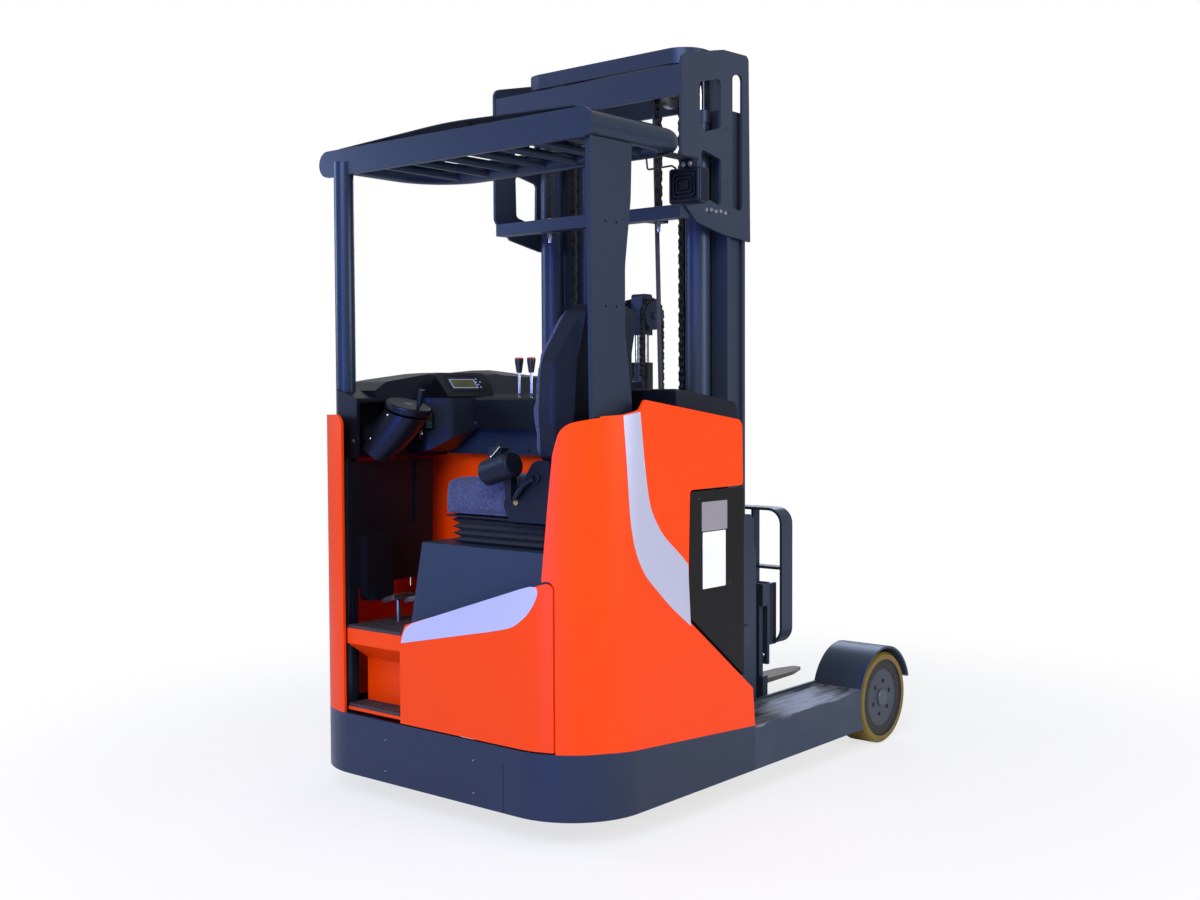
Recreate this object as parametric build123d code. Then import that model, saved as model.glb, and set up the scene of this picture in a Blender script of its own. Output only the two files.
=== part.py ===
"""Sit-on reach truck: a battery truck with two straddle legs and a three-stage mast that reaches forward.

Millimetres. +X is the truck's right side, +Y the fork side, +Z up. While building, Y = 0 is the rear face of
the chassis; each finished node is moved back by half the overall length, so that the stored origin is the
middle of the footprint on the floor.
"""
from build123d import *
import math
import os

# Overall sizes
overall_width = 1270.0
overall_length = 2458.0
half_width = overall_width / 2

# Chassis tub and legs
skirt_bottom = 82.0
skirt_top_rear = 280.0
skirt_top_front = 230.0
skirt_slope_start = 136.0
skirt_slope_end = 871.0
skirt_wall = 12.0
corner_radius = 250.0
chassis_front = 872.0
deck_thickness = 12.0
deck_top = skirt_top_front - 4.0
leg_width = 200.0
leg_top = 228.0
leg_tip = 1900.0
leg_lip_height = 14.0
leg_lip_width = 10.0
channel_depth = 48.0
channel_bottom = 104.0
channel_top = 206.0
rail_width = 65.0

# Load wheels and their fenders
load_wheel_radius = 171.0
load_wheel_width = 112.0
load_wheel_y = 1758.0
load_wheel_outer_x = half_width - 8
load_tread = 27.0
hub_disc_share = 0.63
hub_recess = 8.0
axle_radius = 30.0
axle_clearance = 0.3
fender_gap = 16.0
fender_wall = 9.0
fender_front_angle = 17.0

# Drive unit
drive_x = 80.0
drive_y = 330.0
drive_wheel_radius = 170.0
drive_wheel_width = 116.0
drive_tread = 30.0
drive_side_gap = 14.0
drive_cheek = 62.0
drive_cheek_half = 92.0
drive_hole_radius = 196.0
turntable_radius = 150.0
turntable_z = 372.0
turntable_height = 34.0
bridge_thickness = 20.0
bridge_half_width = 215.0
bridge_half_depth = 140.0
bridge_web = 10.0
running_gap = 6.0
motor_radius = 108.0
motor_height = 290.0

# Body panels
panel = 10.0
shut_gap = 5.0
door_left = -128.0
door_right = half_width - 137
door_thickness = 20.0
column_edge = -402.0
shell_top_left = 1262.0
bulkhead_y = 500.0
bulkhead_top = 1120.0
battery_front = 800.0
battery_half_width = half_width - 35
battery_top = 1010.0
battery_gap = 12.0
side_cover_inset = 3.0
beam_bottom = 1125.0
beam_top = 1210.0
beam_depth = 30.0

# Operator's floor and step
floor_top = 560.0
floor_left = -420.0
floor_right = -138.0
fascia_y = 14.0
riser_y = 100.0
step_top = 300.0
mat_thickness = 10.0

# Seat hood and seat
hood_bottom_y = 30.0
hood_top_y = 60.0
hood_top = 858.0
hood_left_bottom = -130.0
hood_left_top = -100.0
hood_right = half_width - 83
hood_wall = 10.0
crease_depth = 5.0
seat_y = 283.0
seat_half_width = 183.0
bellows_left = -10.0
bellows_right = 395.0
bellows_height = 84.0
bellows_folds = 4
cushion_left = -55.0
cushion_right = 335.0
cushion_height = 126.0
seat_clearance = 0.3
retractor_lean = 16.0

# Console and steering
console_rear = 430.0
console_front = 812.0
console_left = 23 - half_width
console_right = 215.0
console_height = 104.0
console_ridge = beam_top + console_height
crest_rise = 100.0
console_crest = console_ridge + crest_rise
console_shelf_end = 530.0
lid_right = half_width - 30
lid_rear = 480.0
lid_top_rear = 1342.0
lid_top_front = 1296.0
arm_inner = -394.0
arm_rear = 60.0
arm_inset = 34.0
arm_bottom = 1115.0
display_rise = 51.0
display_centre = (-310.0, 478.0, console_ridge + display_rise)
display_heading = 70.0
display_tilt = 35.0
display_width = 160.0
display_height = 130.0
display_recess = 4.0
steering_centre = (-288.0, 190.0, 1283.0)
steering_tilt = 18.0
pocket_depth = 60.0
lever_places = ((-72.0, 500.0), (-16.0, 500.0))
lever_radius = 5.0
lever_depth = 24.0
lever_foot = console_ridge - lever_depth
lever_rise = 88.0
lever_top = console_ridge + lever_rise
steering_disc_radius = 76.0
steering_disc_height = 26.0
spinner_offset = steering_disc_radius - 28
neck_radius = steering_disc_radius - 4

# Overhead guard
guard_y = 100.0
guard_bottom = 2057.0
guard_top = 2144.0
guard_half_length = half_width - 31
guard_beam = 14.0
guard_tube_radius = 36.0
guard_front_y = 540.0
guard_left_x = 141 - half_width
guard_right_x = half_width - 69
guard_bar_radius = 14.0
guard_bar_count = 7
roof_thickness = 4.0
fin_pitch = 12.0
fin_depth = 8.0
left_post_radius = 33.0
plate_post_x = half_width - 55
plate_post_thickness = 18.0
plate_hole_radius = 4.0
plate_hole_heights = (1580.0, 1826.0)
plate_hole_rows = (174.0, 224.0)

# Mast
mast_half = half_width - leg_width - 27
side_plate = 10.0
rail_depth = 108.0
rail_rear = 1024.0
rail_web = 12.0
rail_flange = 16.0
rail_reach = 56.0
rail_lip = 12.0
stage_gap = 6.0
outer_bottom = 96.0
outer_top = 2300.0
middle_bottom = 100.0
middle_top = 2440.0
yoke_height = 52.0
yoke_sheet = 16.0
yoke_wall = 14.0
yoke_half = mast_half - 23
yoke_rear = 852.0
yoke_radius = 90.0
inner_bottom = 120.0
inner_top = 2420.0
roller_play = 0.4
roller_radius = rail_depth / 2 - rail_flange - roller_play
roller_width = 26.0
cylinder_x = mast_half - 73
cylinder_y = 967.0
cylinder_radius = 42.5
cylinder_bottom = 130.0
cylinder_top = 2290.0
lift_rod_radius = 24.0
rod_clearance = 1.0
pulley_x = mast_half - 158
pulley_y = 925.0
pulley_z = middle_top - 75
pulley_radius = 67.0
pulley_width = 22.0
chain_thickness = 16.0
chain_width = 24.0
chain_pitch = 25.4
chain_waist = 3.0
chain_rear_bottom = 1960.0
chain_front_bottom = 330.0

# Free-lift cylinder
free_y = rail_rear + rail_depth / 2 + 4
free_barrel_radius = 40.0
free_rod_radius = 26.0
free_barrel_top = 1440.0
free_head_z = 1610.0
free_pulley_radius = 52.0
free_pulley_x = 46.0
free_cheek_x = 64.0
free_chain_thickness = 12.0
free_chain_bottom = 640.0
free_anchor_z = 1400.0

# Reach carriage
carriage_rear = 880.0
carriage_front = 1190.0
carriage_half = mast_half + 20
carriage_plate_top = 900.0
carriage_bar_top = 500.0
reach_roller_radius = (channel_top - channel_bottom) / 2 - roller_play
reach_roller_width = 36.0
reach_roller_z = 155.0
reach_cylinder_x = 340.0
reach_cylinder_z = 150.0
reach_cylinder_radius = 35.0
reach_rod_radius = 18.0
reach_barrel_rear = 200.0
lug_reach = 54.0
lug_top = 522.0
lug_bottom = 445.0

# Hose on the mast and lead of the work light
hose_radius = 8.0
hose_x = 209.0
hose_y = 888.0
hose_foot_x = 254.0
hose_top = 2350.0
hose_foot = carriage_bar_top
lead_radius = 3.0

# Fork carriage, forks and load backrest
fork_face = 1340.0
fork_thickness = 40.0
fork_width = 100.0
fork_x = 187.0
fork_bottom = 50.0
fork_shank_top = 640.0
tilt_pivot_y = 1240.0
tilt_pivot_z = 345.0
tilt_lug_places = (-230.0, 230.0)
tilt_ear_offset = 22.0
tilt_ear_half = 6.0
tilt_pin_radius = 12.0
carriage_bar_half = mast_half - 18
frame_bar = 38.0
frame_half = mast_half - 3
backrest_half = mast_half + 17
backrest_rear = 1364.0
backrest_front = 1436.0
backrest_bottom = 402.0
backrest_top = 905.0
backrest_bar = 10.0


def block(x0, x1, y0, y1, z0, z1):
    """A box between six planes."""
    body = Box(x1 - x0, y1 - y0, z1 - z0, align=(Align.MIN, Align.MIN, Align.MIN))
    return Pos(x0, y0, z0) * body


def outline(points):
    """A closed face from corners given as (u, v) or (u, v, rounding radius)."""
    face = make_face(Polyline(*[(p[0], p[1]) for p in points], close=True))
    for p in points:
        if len(p) > 2 and p[2] > 0:
            corner = face.vertices().sort_by_distance((p[0], p[1], 0))[0]
            face = fillet(corner, p[2])
    return face


def plate_x(points, x0, x1):
    """Corners in (Y, Z), as thick as the distance from x0 to x1."""
    plane = Plane(origin=(x0, 0, 0), x_dir=(0, 1, 0), z_dir=(1, 0, 0))
    return extrude(plane * outline(points), amount=x1 - x0)


def plate_y(points, y0, y1):
    """Corners in (X, Z), as thick as the distance from y0 to y1."""
    plane = Plane(origin=(0, y1, 0), x_dir=(1, 0, 0), z_dir=(0, -1, 0))
    return extrude(plane * outline(points), amount=y1 - y0)


def plate_z(points, z0, z1):
    """Corners in (X, Y), as thick as the distance from z0 to z1."""
    return extrude(Pos(0, 0, z0) * outline(points), amount=z1 - z0)


def rod_x(x0, x1, y, z, radius):
    """A round bar along X."""
    return Pos((x0 + x1) / 2, y, z) * Rot(0, 90, 0) * Cylinder(radius, x1 - x0)


def rod_y(x, y0, y1, z, radius):
    """A round bar along Y."""
    return Pos(x, (y0 + y1) / 2, z) * Rot(90, 0, 0) * Cylinder(radius, y1 - y0)


def rod_z(x, y, z0, z1, radius):
    """A round bar along Z."""
    return Pos(x, y, (z0 + z1) / 2) * Cylinder(radius, z1 - z0)


def both_sides(piece):
    """The piece and its mirror image across the truck's centre plane, as separate solids."""
    return [piece, mirror(piece, about=Plane.YZ)]


def solids_of(item):
    """Every solid of one shape or of a list of shapes."""
    if isinstance(item, (list, tuple)):
        found = []
        for each in item:
            found += solids_of(each)
        return found
    return list(item.solids())


def save(name, item):
    """Write one node, moved so that the origin is the middle of the footprint."""
    pieces = [Pos(0, -overall_length / 2, 0) * s for s in solids_of(item)]
    shape = pieces[0] if len(pieces) == 1 else Compound(children=pieces)
    export_step(shape, "parts/" + name + ".step")


def chassis_plan(inset, front):
    """The rounded plan of the chassis, drawn in from its outer face by inset."""
    w = half_width - inset
    r = corner_radius - inset
    return [(-w, front), (w, front), (w, inset, r), (-w, inset, r)]


def above_skirt(top):
    """Everything over the skirt's top edge, used to cut the skirt and to trim the panels that stand on it."""
    line = [(-20, top), (-20, skirt_top_rear), (skirt_slope_start, skirt_top_rear)]
    line += [(skirt_slope_end, skirt_top_front), (chassis_front + 20, skirt_top_front),
             (chassis_front + 20, top)]
    return plate_x(line, -half_width - 20, half_width + 20)


def chassis_frame():
    """Skirt, deck, front cross wall, battery bay wall and the bridge that carries the drive unit."""
    tub = plate_z(chassis_plan(0, chassis_front), skirt_bottom, skirt_top_rear)
    deck_bottom = deck_top - deck_thickness
    tub -= plate_z(chassis_plan(skirt_wall, chassis_front - skirt_wall), skirt_bottom - 1, deck_bottom)
    tub -= plate_z(chassis_plan(skirt_wall, chassis_front + 1), deck_top, skirt_top_rear + 1)
    tub -= above_skirt(skirt_top_rear + 50)
    tub -= rod_z(drive_x, drive_y, skirt_bottom, deck_top + 1, drive_hole_radius)
    bridge_low = turntable_z + turntable_height
    bridge_top = bridge_low + bridge_thickness
    x0 = drive_x - bridge_half_width
    x1 = drive_x + bridge_half_width
    bridge = block(x0, x1, drive_y - bridge_half_depth, drive_y + bridge_half_depth, bridge_low, bridge_top)
    for web_x in (x0, x1 - bridge_web):
        bridge += block(web_x, web_x + bridge_web, drive_y - bridge_half_depth, drive_y + bridge_half_depth,
                        deck_top, bridge_low)
    wall = block(-half_width + skirt_wall, half_width - skirt_wall, battery_front, battery_front + skirt_wall,
                 deck_top, battery_top)
    reach_hole = rod_y(reach_cylinder_x, chassis_front - 40, chassis_front + 1, reach_cylinder_z,
                       reach_cylinder_radius + 4)
    return tub + bridge + wall - reach_hole


def leg():
    """Right straddle leg: a box with a roller channel on its inner side, a wheel well and a fender."""
    inner = half_width - leg_width
    well_rear = load_wheel_y - load_wheel_radius - fender_gap - fender_wall
    rail_front = leg_tip
    side = [(chassis_front, skirt_bottom), (rail_front - 30, skirt_bottom, 20),
            (rail_front, skirt_bottom + 40, 15),
            (rail_front, leg_top - 30, 15), (rail_front - 20, leg_top), (chassis_front, leg_top)]
    body = plate_x(side, inner, half_width)
    body += block(inner, inner + leg_lip_width, chassis_front, load_wheel_y - load_wheel_radius - fender_gap,
                  leg_top, leg_top + leg_lip_height)
    wheel_space = load_wheel_radius + fender_gap
    well = rod_x(inner + rail_width, half_width + 1, load_wheel_y, load_wheel_radius, wheel_space)
    well += block(inner + rail_width, half_width + 1, load_wheel_y, leg_tip + 50, 0, leg_top + 60)
    body -= well
    shell = rod_x(inner, half_width, load_wheel_y, load_wheel_radius, wheel_space + fender_wall)
    shell -= rod_x(inner + rail_width, half_width + 1, load_wheel_y, load_wheel_radius, wheel_space)
    reach = wheel_space + fender_wall + 5
    front_cut = [(load_wheel_y, load_wheel_radius),
                 (load_wheel_y + reach * math.cos(math.radians(fender_front_angle)) * 1.1,
                  load_wheel_radius + reach * math.sin(math.radians(fender_front_angle)) * 1.1),
                 (load_wheel_y + reach * 1.1, -60), (load_wheel_y - reach * 1.1, -60),
                 (load_wheel_y - reach * 1.1, leg_top - 20), (load_wheel_y, leg_top - 20)]
    shell -= plate_x(front_cut, inner - 1, half_width + 1)
    inner_cheek = rod_x(inner, inner + rail_width, load_wheel_y, load_wheel_radius, wheel_space)
    inner_cheek -= block(inner - 1, inner + rail_width + 1, load_wheel_y - 300, load_wheel_y + 300, -50,
                         leg_top - 30)
    body = body + shell + inner_cheek
    body -= block(inner - 1, inner + channel_depth, chassis_front + 2, rail_front - 30,
                  channel_bottom, channel_top)
    hub_x = load_wheel_outer_x - load_wheel_width
    axle = rod_x(inner + channel_depth, load_wheel_outer_x - 34, load_wheel_y, load_wheel_radius, axle_radius)
    axle += rod_x(inner + rail_width - 2, hub_x - 4, load_wheel_y, load_wheel_radius, axle_radius + 18)
    return body + axle


def load_wheel(side):
    """Solid tyred wheel with a recessed hub face, free on the leg's axle."""
    x1 = load_wheel_outer_x
    x0 = x1 - load_wheel_width
    profile = [(0, x0), (load_wheel_radius - 8, x0), (load_wheel_radius, x0 + 8), (load_wheel_radius, x1 - 8),
               (load_wheel_radius - 8, x1), (load_wheel_radius - load_tread, x1),
               (load_wheel_radius - load_tread - 4, x1 - 5), (load_wheel_radius * hub_disc_share, x1 - 5),
               (load_wheel_radius * hub_disc_share, x1 - hub_recess), (0, x1 - hub_recess)]
    face = outline(profile)
    wheel = revolve(face, Axis.Y)
    wheel = Pos(0, load_wheel_y, load_wheel_radius) * Rot(0, 0, -90) * wheel
    wheel -= rod_x(x0 - 1, x1 - 30, load_wheel_y, load_wheel_radius, axle_radius + axle_clearance)
    return wheel if side > 0 else mirror(wheel, about=Plane.YZ)


def drive_unit():
    """Turntable and gear housing that steers under the bridge, with a cheek beside the wheel and its axle."""
    z0 = turntable_z
    half = drive_wheel_width / 2
    top = rod_z(0, 0, z0, z0 + turntable_height, turntable_radius)
    inner_x = half + drive_side_gap
    outer_x = inner_x + drive_cheek
    cheek = plate_x([(-82, drive_wheel_radius - 60, 50), (82, drive_wheel_radius - 60, 50),
                     (drive_cheek_half, z0), (-drive_cheek_half, z0)],
                    inner_x, outer_x)
    crown = block(-half, outer_x, -drive_cheek_half, drive_cheek_half, z0 - 16, z0)
    axle = rod_x(-half + 30, inner_x + 5, 0, drive_wheel_radius, axle_radius)
    return Pos(drive_x, drive_y, 0) * (top + cheek + crown + axle)


def drive_wheel():
    """Solid tyred drive wheel with a dished hub."""
    half = drive_wheel_width / 2
    r = drive_wheel_radius
    profile = [(axle_radius + axle_clearance, half), (axle_radius + axle_clearance, 30 - half),
               (0, 30 - half),
               (0, 12 - half), (r - drive_tread, 12 - half), (r - drive_tread, -half), (r - 8, -half),
               (r, 8 - half), (r, half - 8), (r - 8, half), (r - drive_tread, half),
               (r - drive_tread, half - 12),
               (axle_radius + 30, half - 12), (axle_radius + 30, half)]
    wheel = revolve(outline(profile), Axis.Y)
    return Pos(drive_x, drive_y, drive_wheel_radius) * Rot(0, 0, -90) * wheel


def drive_motor():
    """Upright traction motor on the bridge, with a ribbed case."""
    z0 = turntable_z + turntable_height + bridge_thickness
    motor = rod_z(drive_x, drive_y, z0, z0 + motor_height, motor_radius - 8)
    for i in range(4):
        z = z0 + 50 + i * 50
        motor += rod_z(drive_x, drive_y, z, z + 20, motor_radius)
    motor += rod_z(drive_x, drive_y, z0, z0 + 18, motor_radius + 14)
    motor += rod_z(drive_x, drive_y, z0 + motor_height, z0 + motor_height + 40, motor_radius * 0.55)
    return motor


def pump_unit():
    """Hydraulic pump motor, lying on the deck, and the oil tank beside it."""
    z0 = deck_top
    motor_z = z0 + 110
    motor = rod_x(330, 570, 400, motor_z, 85)
    motor += block(340, 370, 330, 470, z0, motor_z)
    motor += block(520, 550, 330, 470, z0, motor_z)
    motor += rod_x(306, 330, 400, motor_z, 60)
    tank = plate_x([(150, z0), (280, z0), (280, z0 + 300, 20), (150, z0 + 300, 20)], 310, 550)
    return [motor, tank]


def ring_wall(thickness, front, z0, z1):
    """Upright wall of the chassis plan, open at the front."""
    wall = plate_z(chassis_plan(0, front), z0, z1)
    wall -= plate_z(chassis_plan(thickness, front + 1), z0 - 1, z1 + 1)
    return wall


def side_shell_right():
    """Right body side: flat flank, rounded rear corner, kicked-up top edge, the battery panel's cut-out."""
    wall = ring_wall(panel, skirt_slope_end, skirt_top_front, 1320)
    flank = [(-20, 200), (-20, 1249), (80, 1257), (193, 1264), (264, 1277, 12), (288, 1307, 10),
             (796, 1239, 28), (801, 1029, 14), (511, 1028, 14), (499, 628, 8), (859, 357, 10),
             (skirt_slope_end, skirt_top_front), (skirt_slope_end, 200)]
    wall &= plate_x(flank, 300, half_width + 1)
    edge = door_right
    rear = [(edge + shut_gap, 200), (edge + shut_gap, 792, 24), (edge - 32, 781), (edge - 11, 1021),
            (edge + 1, 1150, 40), (edge + 22, 1236, 60), (edge + 102, 1256), (edge + 102, 1400),
            (half_width + 20, 1400), (half_width + 20, 200)]
    wall &= plate_y(rear, -20, 1000)
    return wall & above_skirt(1400)


def side_shell_left():
    """Left body side with the entry column at its rear edge."""
    wall = ring_wall(panel, skirt_slope_end, skirt_top_front, 1320)
    flank = [(-20, 200), (-20, shell_top_left), (796, 1240, 28), (801, 1029, 14), (511, 1028, 14),
             (499, 628, 8),
             (859, 357, 10), (skirt_slope_end, skirt_top_front), (skirt_slope_end, 200)]
    wall &= plate_x(flank, -half_width - 1, -300)
    rear = [(column_edge, 200), (column_edge, shell_top_left, 36), (-700, shell_top_left), (-700, 200)]
    wall &= plate_y(rear, -20, 1000)
    return wall & above_skirt(1400)


def battery_side_cover():
    """Black panel over the right end of the battery bay."""
    x1 = half_width - side_cover_inset
    x0 = half_width - skirt_wall
    cover = plate_x([(512 + shut_gap, 1022, 10), (battery_front + 10, 1022, 10), (battery_front + 10, 408),
                     (505 + shut_gap, 636, 4)], x0, x1)
    return cover


def service_door():
    """Rear access door, wrapped round the start of the corner, hinged on its right edge."""
    wall = ring_wall(door_thickness, battery_front, skirt_top_rear + shut_gap, 900)
    face = [(door_left, 200), (door_left, 551, 20), (-102, 601, 14), (door_right - 28, 775),
            (door_right, 783, 20),
            (door_right, 200)]
    return wall & plate_y(face, -20, 150)


def cab_floor():
    """Operator's floor, its folded front edge, the riser and the lower step pan."""
    t = panel
    section = [(fascia_y, floor_top), (fascia_y, floor_top - 50), (riser_y, floor_top - 110),
               (riser_y, step_top), (fascia_y + 2, step_top), (fascia_y + 2, step_top - t),
               (riser_y + t, step_top - t), (riser_y + t, floor_top - 104), (fascia_y + t, floor_top - 44),
               (fascia_y + t, floor_top - t), (bulkhead_y, floor_top - t), (bulkhead_y, floor_top)]
    pan = plate_x(section, column_edge + 4, floor_right)
    side = block(floor_left, column_edge + 4, 60, bulkhead_y, floor_top - t, floor_top)
    wall = block(floor_right - t, floor_right, riser_y + t, bulkhead_y, deck_top, floor_top - t)
    return pan + side + wall


def step_treads():
    """Ribbed rubber mats on the floor and on the lower step."""
    upper = block(column_edge + 6, floor_right - 4, fascia_y + 2, 330, floor_top, floor_top + mat_thickness)
    for i in range(12):
        y = fascia_y + 22 + i * 25
        upper -= block(column_edge + 20, floor_right - 20, y, y + 8, floor_top + mat_thickness - 4,
                       floor_top + 20)
    lower = block(column_edge + 6, floor_right - 14, fascia_y + 4, riser_y - 4, step_top,
                  step_top + mat_thickness)
    for i in range(3):
        y = fascia_y + 18 + i * 22
        lower -= block(column_edge + 20, floor_right - 24, y, y + 8, step_top + mat_thickness - 4,
                       step_top + 20)
    return [upper, lower]


def bulkhead():
    """Wall between the operator and the battery."""
    w = half_width - skirt_wall
    return block(-w, w, bulkhead_y, bulkhead_y + panel, deck_top, bulkhead_top)


def battery():
    """Traction battery, one plain block in its bay."""
    y0 = bulkhead_y + panel + battery_gap
    y1 = battery_front - battery_gap
    return block(-battery_half_width, battery_half_width, y0, y1, deck_top, battery_top - 20)


def cross_beam():
    """Cross member over the bulkhead that carries the console."""
    w = half_width - skirt_wall
    beam = block(-w, w, bulkhead_y - beam_depth, bulkhead_y, beam_bottom, beam_top)
    seat = block(-w, w, bulkhead_y - beam_depth, bulkhead_y + panel, bulkhead_top, beam_bottom)
    return beam + seat


def tapered(z0, z1, low, high, radius):
    """Straight-sided loft between two rounded rectangles given as (x0, x1, y0, y1)."""
    faces = []
    for z, (x0, x1, y0, y1) in ((z0, low), (z1, high)):
        sketch = Pos((x0 + x1) / 2, (y0 + y1) / 2, z) * RectangleRounded(x1 - x0, y1 - y0, radius)
        faces.append(sketch)
    return loft(faces)


def seat_hood():
    """Moulded hood under the seat, with leaning walls and an open underside."""
    low = (hood_left_bottom, hood_right, hood_bottom_y, bulkhead_y)
    high = (hood_left_top, hood_right, hood_top_y, bulkhead_y)
    outer = tapered(floor_top, hood_top, low, high, 26)
    w = hood_wall
    low_in = (hood_left_bottom + w, hood_right - w, hood_bottom_y + w, bulkhead_y - w)
    high_in = (hood_left_top + w, hood_right - w, hood_top_y + w, bulkhead_y - w)
    inner = tapered(floor_top - 1, hood_top - w, low_in, high_in, 18)
    hood = outer - inner
    hood &= plate_z(chassis_plan(panel + shut_gap, chassis_front), 0, hood_top + 10)
    door_line = [(-200, 560), (-128, 560), (-102, 585), (505, 762), (700, 762), (700, 400), (-200, 400)]
    hood -= plate_y(door_line, -20, hood_top_y + 5)
    crease = [(-160, hood_top + 5), (120, hood_top + 5), (96, 770, 30), (-160, 690)]
    lean = (hood_top_y - hood_bottom_y) / (hood_top - floor_top)
    step = plate_x([(hood_bottom_y - 40, floor_top), (hood_bottom_y + crease_depth, floor_top),
                    (hood_top_y + crease_depth + 7 * lean, hood_top + 7),
                    (hood_bottom_y - 40, hood_top + 7)], -170, 130)
    return hood - (step & plate_y(crease, -40, hood_top_y + 60))


def seat_bellows():
    """Rubber bellows of the seat suspension: a stack of folds."""
    fold = bellows_height / bellows_folds
    pieces = None
    for i in range(bellows_folds):
        z0 = hood_top + seat_clearance + i * fold
        inset = 10 * (bellows_folds - 1 - i) / bellows_folds
        wide = (bellows_left + inset, bellows_right, seat_y - seat_half_width + 8,
                seat_y + seat_half_width - 8)
        tight = (wide[0] + 20, wide[1] - 8, wide[2] + 14, wide[3] - 14)
        lower = tapered(z0, z0 + fold / 2, tight, wide, 20)
        upper = tapered(z0 + fold / 2, z0 + fold, wide, tight, 20)
        pieces = lower + upper if pieces is None else pieces + lower + upper
    return pieces


def seat_base_z():
    """Height of the plate on top of the bellows."""
    return hood_top + seat_clearance + bellows_height


def seat_cushion():
    """Padded seat cushion."""
    z0 = seat_base_z() + 6 + seat_clearance
    z1 = z0 + cushion_height
    side = [(cushion_left, z0, 24), (cushion_right, z0, 20), (cushion_right, z1, 20),
            (cushion_left, z1 - 18, 46)]
    pad = plate_y(side, seat_y - seat_half_width, seat_y + seat_half_width)
    plan = [(cushion_left, seat_y - seat_half_width, 60), (cushion_right, seat_y - seat_half_width, 30),
            (cushion_right, seat_y + seat_half_width, 30), (cushion_left, seat_y + seat_half_width, 60)]
    return pad & plate_z(plan, z0 - 1, z1 + 1)


def back_outline(half, z0, z1, top_half):
    """Outline of the backrest seen from the front, in (Y, Z)."""
    return [(seat_y - half + 12, z0, 30), (seat_y + half - 12, z0, 30), (seat_y + half, z0 + 160),
            (seat_y + half - 4, z1 - 180, 80), (seat_y + top_half, z1, 60), (seat_y - top_half, z1, 60),
            (seat_y - half + 4, z1 - 180, 80), (seat_y - half, z0 + 160)]


def seat_back():
    """Backrest shell of the seat."""
    side = [(388, 1118, 20), (462, 1118, 20), (480, 1260), (486, 1430, 120), (520, 1592, 26), (440, 1592, 26),
            (396, 1450, 120), (386, 1260)]
    shell = plate_y(side, seat_y - 240, seat_y + 240)
    shell &= plate_x(back_outline(190, 1118, 1592, 110), 300, 600)
    plan = [(300, 200), (436, 190, 40), (490, 124), (560, 112)]
    near = [(x, seat_y - y, *r) for x, y, *r in plan]
    far = [(x, seat_y + y, *r) for x, y, *r in reversed(plan)]
    return shell & plate_z(near + far, 1100, 1600)


def seat_back_pad():
    """Upholstered front of the backrest."""
    gap = seat_clearance
    side = [(352, 1128, 16), (430, 1128), (430, 1450), (470, 1582), (410, 1586, 12), (360, 1455, 120),
            (346, 1280, 160)]
    pad = plate_y(side, seat_y - 240, seat_y + 240)
    pad &= plate_x(back_outline(182, 1128, 1586, 102), 300, 600)
    return pad - Pos(-gap, 0, 0) * seat_back()


def seat_brackets():
    """Seat pan and the covered hinges that join cushion and backrest, with the belt retractor."""
    z0 = seat_base_z()
    half = seat_half_width + 18
    plate = block(cushion_left + 40, 452, seat_y - seat_half_width, seat_y + seat_half_width, z0, z0 + 6)
    pan = plate
    ear = [(276, z0, 16), (440, z0, 10), (440, 1128, 12), (376, 1130, 44), (330, 1060, 40), (268, 1034, 22),
           (250, 990, 30)]
    for y0, y1 in ((seat_y - half, seat_y - seat_half_width - seat_clearance),
                   (seat_y + seat_half_width + seat_clearance, seat_y + half)):
        pan += plate_y(ear, y0, y1)
    foot = seat_y - half
    pan += block(268, 440, foot, foot + 24, z0, z0 + 6)
    pan += block(268, 440, seat_y + half - 24, seat_y + half, z0, z0 + 6)
    pan += rod_y(425, seat_y - half + 2, seat_y + half - 2, 1086, 12)
    pan += block(417, 433, seat_y - 90, seat_y + 90, 1086, 1118 - seat_clearance)
    drum = Rot(0, 90 - retractor_lean, 0) * fillet(Cylinder(40, 124).edges(), 10)
    drum += block(-34, 20, -16, 16, 30, 62)
    retractor = Pos(262, seat_y - half - 24, 1103) * drum
    retractor += block(278, 302, seat_y - half - 20, seat_y - half + 6, 1010, 1080)
    beam_space = block(200, 500, bulkhead_y - beam_depth - 6, bulkhead_y, bulkhead_top - 6, 1200)
    return pan + retractor - beam_space


def display_plane():
    """Plane of the display, turned towards the driver and tilted back."""
    heading = math.radians(display_heading)
    tilt = math.radians(display_tilt)
    normal = (math.sin(heading) * math.sin(tilt), -math.cos(heading) * math.sin(tilt), math.cos(tilt))
    return Plane(origin=display_centre, x_dir=(math.cos(heading), math.sin(heading), 0), z_dir=normal)


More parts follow.
